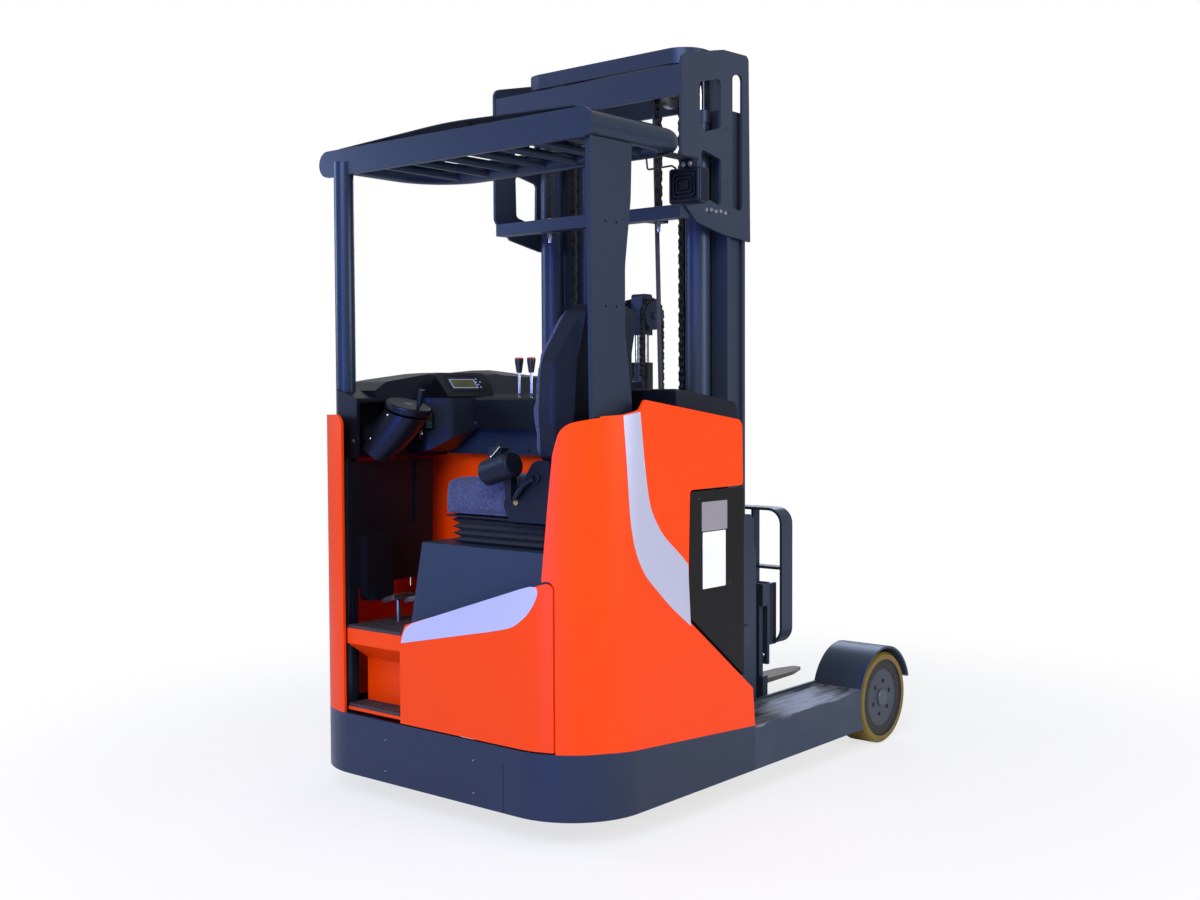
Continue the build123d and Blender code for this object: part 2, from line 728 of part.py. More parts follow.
def console():
    """Moulded dash: crowned front part, left arm and bank, the bulging switch pod and the display's slope."""
    section = [(console_rear, beam_top), (console_rear, console_ridge - 8), (console_rear + 8, console_ridge),
               (console_shelf_end, console_ridge + 6, 30), (606, console_ridge + 84, 30),
               (680, console_crest + 2, 60),
               (console_front, console_ridge + 62, 40), (console_front, beam_top + 52),
               (bulkhead_y + 12, beam_top + 52),
               (bulkhead_y + 12, beam_top)]
    front = plate_x(section, console_left, console_right)
    crown = [(console_left, 1200), (console_left, console_ridge + 62, 24), (-560, console_ridge + 92, 60),
             (-420, console_crest + 4, 150),
             (-240, console_ridge + 78), (console_right, console_ridge + 52), (console_right, 1200)]
    front &= plate_y(crown, console_rear - 10, console_front + 10)
    arm = [(console_left + 4, arm_bottom), (console_left + 4, console_ridge + 38, 36),
           (-520, console_ridge + 38, 60),
           (arm_inner, console_ridge, 8),
           (arm_inner, arm_bottom)]
    left = plate_y(arm, arm_rear, bulkhead_y - beam_depth - 1)
    bank = plate_y([(console_left + 4, 1250), (console_left + 4, console_ridge + 62, 24),
                    (-560, console_ridge + 90, 40),
                    (-430, console_ridge + 90, 30),
                    (arm_inner, console_ridge), (arm_inner, 1250)], 150, 640)
    bank &= plate_x([(150, 1200), (150, console_ridge + 26), (210, console_ridge + 56, 60),
                     (430, console_ridge + 86), (640, console_crest),
                     (640, 1200)],
                    console_left, arm_inner + 1)
    left += bank
    left &= plate_z(chassis_plan(arm_inset, 700), 1100, 1430)
    pod = plate_z([(arm_inner - 30, 306), (-336, 306, 60), (-262, 366, 60), (-214, console_rear + 12),
                   (arm_inner - 30, console_rear + 12)], 1100, console_ridge)
    pod &= plate_y([(arm_inner - 40, 1122), (-330, 1130, 150), (-214, 1210), (-190, console_ridge + 10),
                    (arm_inner - 40, console_ridge + 10)], 280, bulkhead_y)
    slope = Pos(0, -9, 0) * Rectangle(display_width + 26, display_height + 12)
    facet = extrude(display_plane() * slope, amount=-80)
    body = front + left + pod + facet
    body -= extrude(display_plane() * RectangleRounded(display_width, display_height, 14),
                    amount=-display_recess)
    body -= rod_z(guard_left_x, guard_y, 1000, 1500, left_post_radius + 0.3)
    body -= block(arm_inner - pocket_depth, arm_inner + 10, arm_rear + 12, 228, arm_bottom - 20,
                  console_ridge - 14)
    for x, y in lever_places:
        body -= rod_z(x, y, lever_foot, 1500, lever_radius + seat_clearance)
    return body


def battery_lid():
    """Cover over the battery and the valve bay, right of the console."""
    low = beam_top
    section = [(lid_rear, low), (lid_rear, lid_top_rear, 14), (console_front, lid_top_front, 34),
               (console_front, low)]
    lid = plate_x(section, console_right + 1, lid_right)
    crown = [(console_right - 5, low - 5), (console_right - 5, 1372), (lid_right, lid_top_rear - 2, 22),
             (lid_right, low - 5)]
    return lid & plate_y(crown, lid_rear - 5, console_front + 5)


def display_panel():
    """Instrument display, sunk in the console's slope, with a raised rim round its window."""
    bezel = RectangleRounded(display_width - 1, display_height - 1, 13.5)
    panel_body = extrude(display_plane() * bezel, amount=-(display_recess - seat_clearance))
    rim = RectangleRounded(display_width - 30, display_height - 34, 8)
    rim -= RectangleRounded(display_width - 36, display_height - 40, 5)
    return panel_body + extrude(display_plane() * rim, amount=1.5)


def control_levers():
    """Two hydraulic levers with round-topped grips."""
    pieces = []
    base = (Align.CENTER, Align.CENTER, Align.MIN)
    for x, y in lever_places:
        stem = rod_z(x, y, lever_foot, lever_top, lever_radius)
        grip = Pos(x, y, lever_top - 4) * Cone(9, 15, 40, align=base)
        cap = Pos(x, y, lever_top + 36) * Cylinder(15, 8, align=base)
        pieces.append(stem + grip + cap)
    return pieces


def knee_cover():
    """Black lining below the console on the driver's left, notched for the steering hoses."""
    x1 = column_edge + 2
    face = [(40, floor_top), (62, floor_top), (62, 690, 8), (400, 700, 20), (408, 1104), (330, 1104),
            (330, 886, 12),
            (110, 886, 12), (80, 1104), (40, 1104)]
    skin = plate_x(face, x1 - 14, x1)
    skin += block(x1 - 14, x1 - 10, 70, 345, 870, 1104)
    low = plate_x([(74, 640, 24), (190, 640, 24), (190, 860, 30), (74, 860, 10)], x1 - 6, x1 + 34)
    return skin + low


def pedals():
    """Two floor pedals on chromed stems."""
    pieces = []
    for x, y in ((-322, 170), (-262, 215)):
        stem = rod_z(x, y, floor_top + mat_thickness, 640, 9)
        tread = Pos(x, y, 648) * Rot(0, -16, 0) * Box(64, 90, 14)
        pieces.append(stem + tread)
    return pieces


def steering_head():
    """Housing that carries the hand wheel, standing out of the pocket in the console's arm."""
    x, y, z = steering_centre
    lean = math.radians(steering_tilt)
    drop = steering_disc_height / 2 + running_gap
    upper = Plane((x - drop * math.sin(lean), y, z - drop * math.cos(lean)),
                  z_dir=(math.sin(lean), 0, math.cos(lean))) * Circle(neck_radius)
    middle = Plane((x - 50, y - 24, z - 84), z_dir=(0.42, 0.14, 0.88)) * Circle(neck_radius - 4)
    lower = Plane((x - 100, y - 62, z - 158), z_dir=(0.5, 0.3, 0.81)) * Circle(46)
    neck = loft([lower, middle, upper])
    arm = rod_x(arm_inner - pocket_depth, x - 70, y - 50, z - 96, 40)
    return neck + arm


def hand_wheel():
    """Small one-handed steering disc with a spinner knob."""
    disc = Cylinder(steering_disc_radius, steering_disc_height)
    disc = fillet(disc.edges().filter_by(GeomType.CIRCLE), 7)
    base = (Align.CENTER, Align.CENTER, Align.MIN)
    knob = Pos(spinner_offset, 0, steering_disc_height / 2) * Cylinder(6, 20, align=base)
    knob += Pos(spinner_offset, 0, steering_disc_height / 2 + 12) * Cylinder(10, 52, align=base)
    drop = running_gap - seat_clearance
    hub = Pos(0, 0, -steering_disc_height / 2 - drop) * Cylinder(30, drop + 2,
                                                                 align=(Align.CENTER, Align.CENTER,
                                                                        Align.MIN))
    return Pos(*steering_centre) * Rot(0, steering_tilt, 0) * (disc + hub + knob)


def guard_frame():
    """Overhead guard: rear beam, tube loop, bars below the roof, and the round rear-left post."""
    z_mid = (guard_bottom + guard_top) / 2
    end = (guard_top - guard_bottom) / 2
    beam = plate_y([(-guard_half_length, guard_bottom, end - 1), (guard_half_length, guard_bottom, end - 1),
                    (guard_half_length, guard_top, end - 1), (-guard_half_length, guard_top, end - 1)],
                   guard_y - guard_beam, guard_y)
    r = guard_tube_radius
    path = FilletPolyline((guard_right_x, guard_y, z_mid), (guard_right_x, guard_front_y, z_mid),
                          (guard_left_x, guard_front_y, z_mid), (guard_left_x, guard_y, z_mid),
                          radius=[80, 200])
    start = Plane(origin=(guard_right_x, guard_y, z_mid), z_dir=(0, 1, 0))
    loop = sweep(start * Circle(r), path=path)
    frame = beam + loop
    spacing = (guard_right_x - guard_left_x) / (guard_bar_count + 1)
    for i in range(guard_bar_count):
        x = guard_left_x + (i + 1) * spacing
        frame += rod_y(x, guard_y - 2, guard_front_y - 6, guard_bottom + 30, guard_bar_radius)
    post = rod_z(guard_left_x, guard_y, deck_top, z_mid, left_post_radius)
    return frame + post


def plate_post():
    """Waisted flat post at the rear right, from the deck to the guard's tube, with two pairs of holes."""
    top = (guard_bottom + guard_top) / 2 - guard_tube_radius - 0.3
    outer = [(118, 1240), (105, top), (298, top), (292, 1900, 200), (264, 1700, 250), (264, 1500, 250),
             (294, 1300), (296, 1240), (224, 1180), (224, deck_top), (134, deck_top), (134, 1200)]
    post = plate_x(outer, plate_post_x - plate_post_thickness, plate_post_x)
    for z in plate_hole_heights:
        for y in plate_hole_rows:
            post -= rod_x(plate_post_x - 40, plate_post_x + 20, y, z, plate_hole_radius)
    return post


def roof_sheet():
    """Thin arched roof sheet on small spacers over the guard's bars."""
    sag = 26
    half = 520
    section = [(-half, guard_top + 2), (0, guard_top + sag, 2200), (half, guard_top + 8)]
    top = [(x, z + roof_thickness) + tuple(rest) for x, z, *rest in reversed(section)]
    sheet = plate_y(section + top, guard_y + 4, guard_front_y - 40)
    bar_top = guard_bottom + 30 + guard_bar_radius
    spacing = (guard_right_x - guard_left_x) / (guard_bar_count + 1)
    for i in (0, 3, 6):
        x = guard_left_x + (i + 1) * spacing
        rise = (1 - abs(x) / half) * (sag - (2 if x < 0 else 8)) + (2 if x < 0 else 8)
        for y in (guard_y + 70, guard_front_y - 110):
            sheet += rod_z(x, y, bar_top, guard_top + rise + 0.5, 8)
    return sheet


def work_light():
    """Finned lamp under the guard's front corner with its bracket."""
    x0, x1, y0, y1 = 497, 619, 584, 640
    z0, z1 = 1921, 2032
    lamp = fillet(block(x0, x1, y0, y1, z0, z1).edges(), 10)
    middle = (x0 + x1) / 2
    back = Plane(origin=(middle, y0, (z0 + z1) / 2), x_dir=(1, 0, 0), z_dir=(0, -1, 0))
    for i in range(3):
        wide = x1 - x0 - 24 - i * fin_pitch * 2
        high = z1 - z0 - 24 - i * fin_pitch * 2
        groove = RectangleRounded(wide, high, 14 - i * 3)
        groove -= RectangleRounded(wide - fin_pitch, high - fin_pitch, 10 - i * 3)
        lamp -= extrude(back * groove, amount=-fin_depth)
    tube_bottom = (guard_bottom + guard_top) / 2 - guard_tube_radius - seat_clearance
    lamp += block(middle - 24, middle + 24, guard_front_y - 60, y1 - 10, tube_bottom - 6, tube_bottom)
    lamp += block(middle - 24, middle + 24, y0 + 16, y1 - 16, z1 - 1, tube_bottom - 5)
    return lamp


def lamp_lead():
    """Thin lead from the underside of the guard's tube to the top of the lamp."""
    tube_bottom = (guard_bottom + guard_top) / 2 - guard_tube_radius - seat_clearance
    path = FilletPolyline((446, guard_front_y, tube_bottom), (450, guard_front_y, tube_bottom - 34),
                          (504, 596, 2044), (514, 606, 2034.7), radius=6)
    start = Plane(origin=(446, guard_front_y, tube_bottom), z_dir=(4, 0, -34))
    return sweep(start * Circle(lead_radius), path=path)


def mast_hose():
    """Hydraulic hose from the head's cross bar down to the foot of the outer mast."""
    first = (hose_x, 764 + seat_clearance, hose_top)
    path = FilletPolyline(first, (hose_x, hose_y, hose_top), (hose_foot_x, hose_y,
                                                              hose_foot + seat_clearance), radius=50)
    start = Plane(origin=first, z_dir=(0, 1, 0))
    return sweep(start * Circle(hose_radius), path=path)


def rail(x_outer, z0, z1, side):
    """One channel-section upright that opens towards the middle of the mast."""
    xi = x_outer - rail_web
    xe = x_outer - rail_reach
    y0 = rail_rear
    y1 = rail_rear + rail_depth
    section = [(x_outer, y0), (x_outer, y1), (xe, y1, 4), (xe, y1 - rail_flange, 4),
               (xi, y1 - rail_flange, 8),
               (xi, y0 + rail_flange, 8), (xe, y0 + rail_flange, 4), (xe, y0, 4)]
    piece = plate_z(section, z0, z1)
    return piece if side > 0 else mirror(piece, about=Plane.YZ)


def rollers(x_face, z_list, side):
    """Mast rollers on stub shafts, standing out of a stage into the channel outside it."""
    y = rail_rear + rail_depth / 2
    xr = x_face + stage_gap + rail_flange - 6
    piece = None
    for z in z_list:
        one = rod_x(x_face - 2, xr, y, z, 14)
        one += rod_x(xr - 1, xr + roller_width, y, z, roller_radius)
        piece = one if piece is None else piece + one
    return piece if side > 0 else mirror(piece, about=Plane.YZ)


def mast_side_plates():
    """Head plates of the outer mast with their three openings, the two cross bars and the roller stubs."""
    outer = [(749, 1960, 30), (749, 2437, 34), (946, 2482), (988, 2491), (1140, 2496, 20), (1150, 1854),
             (987, 1867), (832, 1896)]
    slots = [[(848, 2361, 16), (972, 2391, 16), (972, 2225, 16), (858, 2194, 16)],
             [(858, 2141, 16), (975, 2118, 16), (971, 1960, 16), (862, 1985, 16)],
             [(1041, 2414, 20), (1101, 2428, 20), (1101, 1951, 20), (1041, 1964, 20)]]
    x0 = mast_half + rail_lip
    plate = plate_x(outer, x0, x0 + side_plate)
    for slot in slots:
        plate -= plate_x(slot, x0 - 1, x0 + side_plate + 1)
    head = both_sides(plate)
    bars = block(-x0, x0, 752, 764, 2304, 2404)
    bars += block(-x0, x0, 752, 800, 1905, 1948)
    return head[0] + head[1] + bars


def mast_outer():
    """Outer mast uprights on the reach carriage's side plates and cross members."""
    frame = rail(mast_half, outer_bottom, outer_top, 1) + rail(mast_half, outer_bottom, outer_top, -1)
    for y in (rail_rear, rail_rear + rail_depth - rail_flange):
        lip = block(mast_half - 1, mast_half + rail_lip, y, y + rail_flange, outer_bottom, outer_top)
        for piece in both_sides(lip):
            frame += piece
    side = [(carriage_rear, 110, 12), (carriage_front, 110, 12), (carriage_front, 760),
            (carriage_front - 16, 800, 40),
            (carriage_front - 16, carriage_plate_top, 30), (1080, carriage_plate_top, 30),
            (carriage_rear, 520, 60)]
    plate = plate_x(side, mast_half, carriage_half)
    lug = plate_x([(984, lug_bottom, 14), (1083, lug_bottom, 14), (1083, lug_top, 14), (984, lug_top, 14)],
                  carriage_half - 1, carriage_half + lug_reach)
    plate += lug
    frame += plate
    frame += mirror(plate, about=Plane.YZ)
    frame += block(-mast_half, mast_half, carriage_rear, carriage_rear + 16, 120, 300)
    frame += block(-mast_half, mast_half, carriage_rear, cylinder_y + 50, outer_bottom, outer_bottom + 20)
    frame += block(-mast_half, mast_half, carriage_rear, carriage_rear + 16, carriage_bar_top - 80,
                   carriage_bar_top)
    return frame


def reach_rollers():
    """Rollers that carry the reach carriage in the channels of the legs."""
    pieces = []
    for y in (carriage_rear + 70, carriage_front - 70):
        wheel = rod_x(carriage_half, half_width - leg_width + 6, y, reach_roller_z, 18)
        wheel += rod_x(half_width - leg_width + 5, half_width - leg_width + 5 + reach_roller_width, y,
                       reach_roller_z, reach_roller_radius)
        pieces += both_sides(wheel)
    return pieces


def lift_cylinders():
    """Barrels of the two lift cylinders behind the outer uprights."""
    barrel = rod_z(cylinder_x, cylinder_y, outer_bottom + 20, cylinder_top, cylinder_radius)
    barrel -= rod_z(cylinder_x, cylinder_y, cylinder_bottom + 60, cylinder_top + 1, lift_rod_radius + 6)
    collar = rod_z(cylinder_x, cylinder_y, cylinder_top - 40, cylinder_top, cylinder_radius + 4)
    collar -= rod_z(cylinder_x, cylinder_y, cylinder_top - 41, cylinder_top + 1,
                    lift_rod_radius + rod_clearance)
    barrel -= rod_z(cylinder_x, cylinder_y, cylinder_top - 40, cylinder_top + 1, cylinder_radius + 1)
    return both_sides(barrel + collar)


def mast_middle():
    """Middle stage: uprights, the yoke over the lift cylinders and a lower cross plate."""
    x_outer = mast_half - rail_reach - stage_gap
    yoke_underside = middle_top + yoke_height - yoke_sheet
    frame = rail(x_outer, middle_bottom, yoke_underside + 1, 1) + rail(x_outer, middle_bottom,
                                                                       yoke_underside + 1, -1)
    front = rail_rear + rail_depth - 20
    yoke_outer = [(-yoke_half, front), (-yoke_half, yoke_rear, yoke_radius),
                  (yoke_half, yoke_rear, yoke_radius),
                  (yoke_half, front)]
    w = yoke_wall
    yoke_inner = [(w - yoke_half, front + 1), (w - yoke_half, yoke_rear + w, yoke_radius - w),
                  (yoke_half - w, yoke_rear + w, yoke_radius - w), (yoke_half - w, front + 1)]
    yoke = plate_z(yoke_outer, middle_top, middle_top + yoke_height)
    yoke -= plate_z(yoke_inner, middle_top - 1, yoke_underside)
    passage = x_outer - rail_reach
    yoke -= block(-passage, passage, rail_rear - stage_gap - 2, front + 1, middle_top - 1,
                  middle_top + yoke_height + 1)
    frame += yoke
    frame += block(-x_outer + 8, x_outer - 8, rail_rear + 6, rail_rear + rail_depth - 6, middle_bottom,
                   middle_bottom + 12)
    frame += rollers(x_outer, (middle_bottom + 60, middle_bottom + 420), 1)
    frame += rollers(x_outer, (middle_bottom + 60, middle_bottom + 420), -1)
    return frame


def lift_rods():
    """Rods of the lift cylinders, fixed to the yoke of the middle stage."""
    rod = rod_z(cylinder_x, cylinder_y, cylinder_bottom + 80, middle_top + yoke_height - yoke_sheet,
                lift_rod_radius)
    return both_sides(rod)


def chain_pulleys():
    """Pulleys under the yoke for the lift chains."""
    wheel = rod_x(pulley_x - pulley_width / 2, pulley_x + pulley_width / 2, pulley_y, pulley_z,
                  pulley_radius - chain_thickness / 2)
    hanger_top = middle_top + yoke_height - yoke_sheet
    hanger = plate_x([(pulley_y - 26, pulley_z - 26, 20), (pulley_y + 26, pulley_z - 26, 20),
                      (pulley_y + 26, hanger_top), (pulley_y - 26, hanger_top)],
                     pulley_x + pulley_width / 2 + 4, pulley_x + pulley_width / 2 + 12)
    pin = rod_x(pulley_x - pulley_width / 2 - 6, pulley_x + pulley_width / 2 + 14, pulley_y, pulley_z, 12)
    return both_sides(wheel + hanger + pin)


def chain_strand(x0, x1, y0, y1, z0, z1):
    """A straight run of leaf chain: its two edges are waisted between one pin and the next."""
    count = max(1, round((z1 - z0) / chain_pitch))
    step = (z1 - z0) / count
    near = []
    far = []
    for i in range(count):
        near += [(y0, z0 + i * step), (y0 + chain_waist, z0 + (i + 0.5) * step)]
        far += [(y1, z0 + i * step), (y1 - chain_waist, z0 + (i + 0.5) * step)]
    near.append((y0, z1))
    far.append((y1, z1))
    return plate_x(near + far[::-1], x0, x1)


def lift_chains():
    """Leaf chains over the pulleys, with the waisted outline of their link plates."""
    r = pulley_radius
    t = chain_thickness / 2
    x0 = pulley_x - chain_width / 2
    x1 = pulley_x + chain_width / 2
    arch = rod_x(x0, x1, pulley_y, pulley_z, r + t) - rod_x(x0 - 1, x1 + 1, pulley_y, pulley_z, r - t + 0.3)
    arch -= block(x0 - 1, x1 + 1, pulley_y - 200, pulley_y + 200, pulley_z - 200, pulley_z)
    rear = chain_strand(x0, x1, pulley_y - r - t, pulley_y - r + t - 0.3, chain_rear_bottom, pulley_z)
    front = chain_strand(x0, x1, pulley_y + r - t + 0.3, pulley_y + r + t, chain_front_bottom, pulley_z)
    return both_sides(arch + rear + front)


def mast_inner():
    """Inner stage: uprights with a top and a bottom cross member."""
    x_outer = mast_half - 2 * (rail_reach + stage_gap)
    frame = rail(x_outer, inner_bottom, inner_top, 1) + rail(x_outer, inner_bottom, inner_top, -1)
    frame += block(-x_outer + 8, x_outer - 8, rail_rear + 2, rail_rear + 18, inner_top - 110, inner_top - 10)
    frame += block(-x_outer + 8, x_outer - 8, rail_rear + 2, rail_rear + rail_depth - 2, inner_bottom,
                   inner_bottom + 20)
    frame += rollers(x_outer, (inner_bottom + 70, inner_bottom + 430), 1)
    frame += rollers(x_outer, (inner_bottom + 70, inner_bottom + 430), -1)
    return frame


def free_lift_cylinder():
    """Barrel of the free-lift cylinder, standing on the inner stage's bottom plate."""
    barrel = rod_z(0, free_y, inner_bottom + 20, free_barrel_top, free_barrel_radius)
    barrel -= rod_z(0, free_y, inner_bottom + 120, free_barrel_top + 1, free_rod_radius + 5)
    collar = rod_z(0, free_y, free_barrel_top - 30, free_barrel_top, free_barrel_radius)
    collar -= rod_z(0, free_y, free_barrel_top - 31, free_barrel_top + 1, free_rod_radius + rod_clearance)
    return barrel + collar


def free_lift_rod():
    """Rod of the free-lift cylinder."""
    return rod_z(0, free_y, inner_bottom + 140, free_head_z - 70, free_rod_radius)


def free_lift_head():
    """Head block on the free-lift rod with two cheeks and its chain pulleys."""
    head = plate_x([(free_y - 30, free_head_z - 70), (free_y + 30, free_head_z - 70),
                    (free_y + 30, free_head_z + 80, 12), (free_y - 30, free_head_z + 80, 12)], -26, 26)
    pin = rod_x(-free_cheek_x, free_cheek_x, free_y, free_head_z, 14)
    body = head + pin
    for side in (-1, 1):
        x = side * free_pulley_x
        body += rod_x(x - 12, x + 12, free_y, free_head_z, free_pulley_radius)
    return body


def free_lift_chains():
    """Two leaf chains over the head's pulleys, down to the fork carriage and to the barrel's collar."""
    r = free_pulley_radius
    t = free_chain_thickness
    x0 = free_pulley_x - 9
    x1 = free_pulley_x + 9
    arch = rod_x(x0, x1, free_y, free_head_z, r + t) - rod_x(x0 - 1, x1 + 1, free_y, free_head_z, r + 0.3)
    arch -= block(x0 - 1, x1 + 1, free_y - 200, free_y + 200, free_head_z - 200, free_head_z)
    rear = block(x0, x1, free_y - r - t, free_y - r - 0.3, free_anchor_z, free_head_z)
    front = block(x0, x1, free_y + r + 0.3, free_y + r + t, free_chain_bottom, free_head_z)
    return both_sides(arch + rear + front)


def fork_carriage():
    """Plates and rollers that climb the inner stage, with the cross bars in front of the mast."""
    x_in = mast_half - 3 * (rail_reach + stage_gap)
    side = [(rail_rear + 10, 250, 12), (carriage_front + 10, 250), (carriage_front + 10, 660),
            (rail_rear + 30, 660, 20)]
    plate = plate_x(side, x_in - 18, x_in)
    frame = plate + mirror(plate, about=Plane.YZ)
    for z0, z1 in ((300, 390), (560, 640)):
        frame += block(-carriage_bar_half, carriage_bar_half, carriage_front + 10, carriage_front + 40, z0,
                       z1)
    frame += rollers(x_in, (300, 600), 1)
    frame += rollers(x_in, (300, 600), -1)
    for x in tilt_lug_places:
        lug = plate_x([(carriage_front + 36, tilt_pivot_z - 30), (tilt_pivot_y, tilt_pivot_z - 24, 20),
                       (tilt_pivot_y + 20, tilt_pivot_z, 14), (tilt_pivot_y, tilt_pivot_z + 24, 20),
                       (carriage_front + 36, tilt_pivot_z + 30)], x - 14, x + 14)
        frame += lug
    for x in tilt_lug_places:
        for side in (-1, 1):
            ear_x = x + side * tilt_ear_offset
            frame -= block(ear_x - tilt_ear_half - 4, ear_x + tilt_ear_half + 4, carriage_front + 18,
                           carriage_front + 41, 300, 391)
    frame -= rod_x(-260, 260, tilt_pivot_y, tilt_pivot_z, tilt_pin_radius + 0.3)
    return frame


def fork_frame():
    """Tilting frame in front of the carriage: two hook bars, uprights and the hinge ears with their pins."""
    y0 = fork_face - fork_thickness - frame_bar
    y1 = fork_face - fork_thickness
    frame = block(-frame_half, frame_half, y0 + 6, y1, 215, 300)
    frame += block(-frame_half, frame_half, y0 + 6, y1, 555, 636)
    for x in (55 - frame_half, 0, frame_half - 55):
        frame += block(x - 40, x + 40, y0 + 6, y1 - 8, 290, 560)
    for x in tilt_lug_places:
        for s in (-1, 1):
            x0 = x + s * tilt_ear_offset
            frame += plate_x([(tilt_pivot_y - 24, tilt_pivot_z - 24, 20), (y0 + 12, tilt_pivot_z - 50),
                              (y0 + 12, tilt_pivot_z + 40), (tilt_pivot_y - 24, tilt_pivot_z + 24, 20)],
                             x0 - tilt_ear_half, x0 + tilt_ear_half)
        frame += block(x - 40, x + 40, y0 + 6, y1 - 8, 290, 560)
        frame += rod_x(x - 30, x + 30, tilt_pivot_y, tilt_pivot_z, tilt_pin_radius)
    return frame


def fork(x):
    """One fork: forged shank and a tapered blade with a rounded tip."""
    y0 = fork_face - fork_thickness
    tip = overall_length
    side = [(y0, fork_bottom, 14), (tip, fork_bottom + 22), (tip, fork_bottom + 34),
            (fork_face + 400, fork_bottom + 40),
            (fork_face, fork_bottom + 40, 16), (fork_face, fork_shank_top), (y0, fork_shank_top)]
    blade = plate_x(side, x - fork_width / 2, x + fork_width / 2)
    w = fork_width / 2
    plan = [(x - w, y0), (x - w, tip - 110, 80), (x - 20, tip, 16), (x + 20, tip, 16),
            (x + w, tip - 110, 80), (x + w, y0)]
    return blade & plate_z(plan, 0, fork_shank_top + 1)


def load_backrest():
    """Bent flat-bar frame above the forks, on two bolted straps."""
    h = backrest_half
    b = backrest_bar
    loop_out = [(-h, backrest_bottom, 60), (h, backrest_bottom, 60), (h, backrest_top, 60),
                (-h, backrest_top, 60)]
    loop_in = [(-h + b, backrest_bottom + b, 50), (h - b, backrest_bottom + b, 50),
               (h - b, backrest_top - b, 50),
               (-h + b, backrest_top - b, 50)]
    frame = plate_y(loop_out, backrest_rear, backrest_front)
    frame -= plate_y(loop_in, backrest_rear - 1, backrest_front + 1)
    middle = backrest_bottom + 0.55 * (backrest_top - backrest_bottom)
    frame += block(-h + 2, h - 2, backrest_rear + 6, backrest_front - 20, middle, middle + b)
    for x in (-0.68 * h, -0.23 * h, 0.23 * h, 0.68 * h):
        frame += block(x - 5, x + 5, backrest_rear + 10, backrest_front - 20, backrest_bottom + 2,
                       backrest_top - 2)
    y0 = fork_face - fork_thickness
    strap = block(h - 65, h - 21, y0, y0 + 14, 340, 640)
    strap += block(h - 49, h - 37, y0, backrest_rear + 20, 404, 630)
    for piece in both_sides(strap):
        frame += piece
    return frame


def reach_barrel():
    """Reach cylinder barrel under the deck."""
    y0 = reach_barrel_rear
    deck_bottom = deck_top - deck_thickness
    barrel = rod_y(reach_cylinder_x, y0, chassis_front - 2, reach_cylinder_z, reach_cylinder_radius)
    barrel -= rod_y(reach_cylinder_x, y0 + 20, chassis_front, reach_cylinder_z, reach_rod_radius + 6)
    collar = rod_y(reach_cylinder_x, chassis_front - 30, chassis_front - 2, reach_cylinder_z,
                   reach_cylinder_radius - 2)
    collar -= rod_y(reach_cylinder_x, chassis_front - 31, chassis_front, reach_cylinder_z,
                    reach_rod_radius + rod_clearance)
    for y in (y0 + 5, chassis_front - 90):
        barrel += block(reach_cylinder_x - 22, reach_cylinder_x + 22, y, y + 40, reach_cylinder_z + 29,
                        deck_bottom)
    return barrel + collar


def reach_rod():
    """Reach cylinder rod, fixed to the reach carriage."""
    rod = rod_y(reach_cylinder_x, reach_barrel_rear + 30, carriage_rear, reach_cylinder_z, reach_rod_radius)
    return rod


def build():
    """Every node by name."""
    nodes = {
        "chassis_frame": chassis_frame(),
        "side_shell_right": side_shell_right(),
        "side_shell_left": side_shell_left(),
        "battery_side_covers": both_sides(battery_side_cover()),
        "service_door": service_door(),
        "cab_floor": cab_floor(),
        "step_treads": step_treads(),
        "bulkhead": bulkhead(),
        "battery": battery(),
        "cross_beam": cross_beam(),
        "seat_hood": seat_hood(),
        "seat_bellows": seat_bellows(),
        "seat_cushion": seat_cushion(),
        "seat_back": seat_back(),
        "seat_back_pad": seat_back_pad(),
        "seat_brackets": seat_brackets(),
        "console": console(),
        "battery_lid": battery_lid(),
        "display_panel": display_panel(),
        "control_levers": control_levers(),
        "knee_cover": knee_cover(),
        "pedals": pedals(),
        "steering_head": steering_head(),
        "hand_wheel": hand_wheel(),
        "guard_frame": guard_frame(),
        "plate_post": plate_post(),
        "roof_sheet": roof_sheet(),
        "work_light": work_light(),
        "drive_motor": drive_motor(),
        "pump_unit": pump_unit(),
        "drive_unit": drive_unit(),
        "drive_wheel": drive_wheel(),
        "load_wheel_left": load_wheel(-1),
        "load_wheel_right": load_wheel(1),
        "mast_outer": mast_outer(),
        "mast_side_plates": mast_side_plates(),
        "reach_rollers": reach_rollers(),
        "lift_cylinders": lift_cylinders(),
        "mast_middle": mast_middle(),
        "lift_rods": lift_rods(),
        "chain_pulleys": chain_pulleys(),
        "lift_chains": lift_chains(),
        "mast_inner": mast_inner(),
        "free_lift_cylinder": free_lift_cylinder(),
        "free_lift_rod": free_lift_rod(),
        "free_lift_head": free_lift_head(),
        "free_lift_chains": free_lift_chains(),
        "mast_hose": mast_hose(),
        "lamp_lead": lamp_lead(),
        "fork_carriage": fork_carriage(),
        "fork_frame": fork_frame(),
        "fork_left": fork(-fork_x),
        "fork_right": fork(fork_x),
        "load_backrest": load_backrest(),
        "reach_barrel": reach_barrel(),
        "reach_rod": reach_rod(),
    }
    right_leg = leg()
    nodes["leg_right"] = right_leg
    nodes["leg_left"] = mirror(right_leg, about=Plane.YZ)
    return nodes


os.makedirs("parts", exist_ok=True)
for node_name, node_shape in build().items():
    save(node_name, node_shape)
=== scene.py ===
# %% [markdown]
# A sit-on reach truck, dressed for its portrait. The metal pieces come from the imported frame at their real
# size, so this file only gives them finishes and adds what a drawing of solids leaves out: stripes, screws,
# chain links, cloth on the seat, and the small marks of use. All lengths are metres, +X is the truck's right
# side, +Y points along the forks and +Z is up.

# %% Load the frame
import math

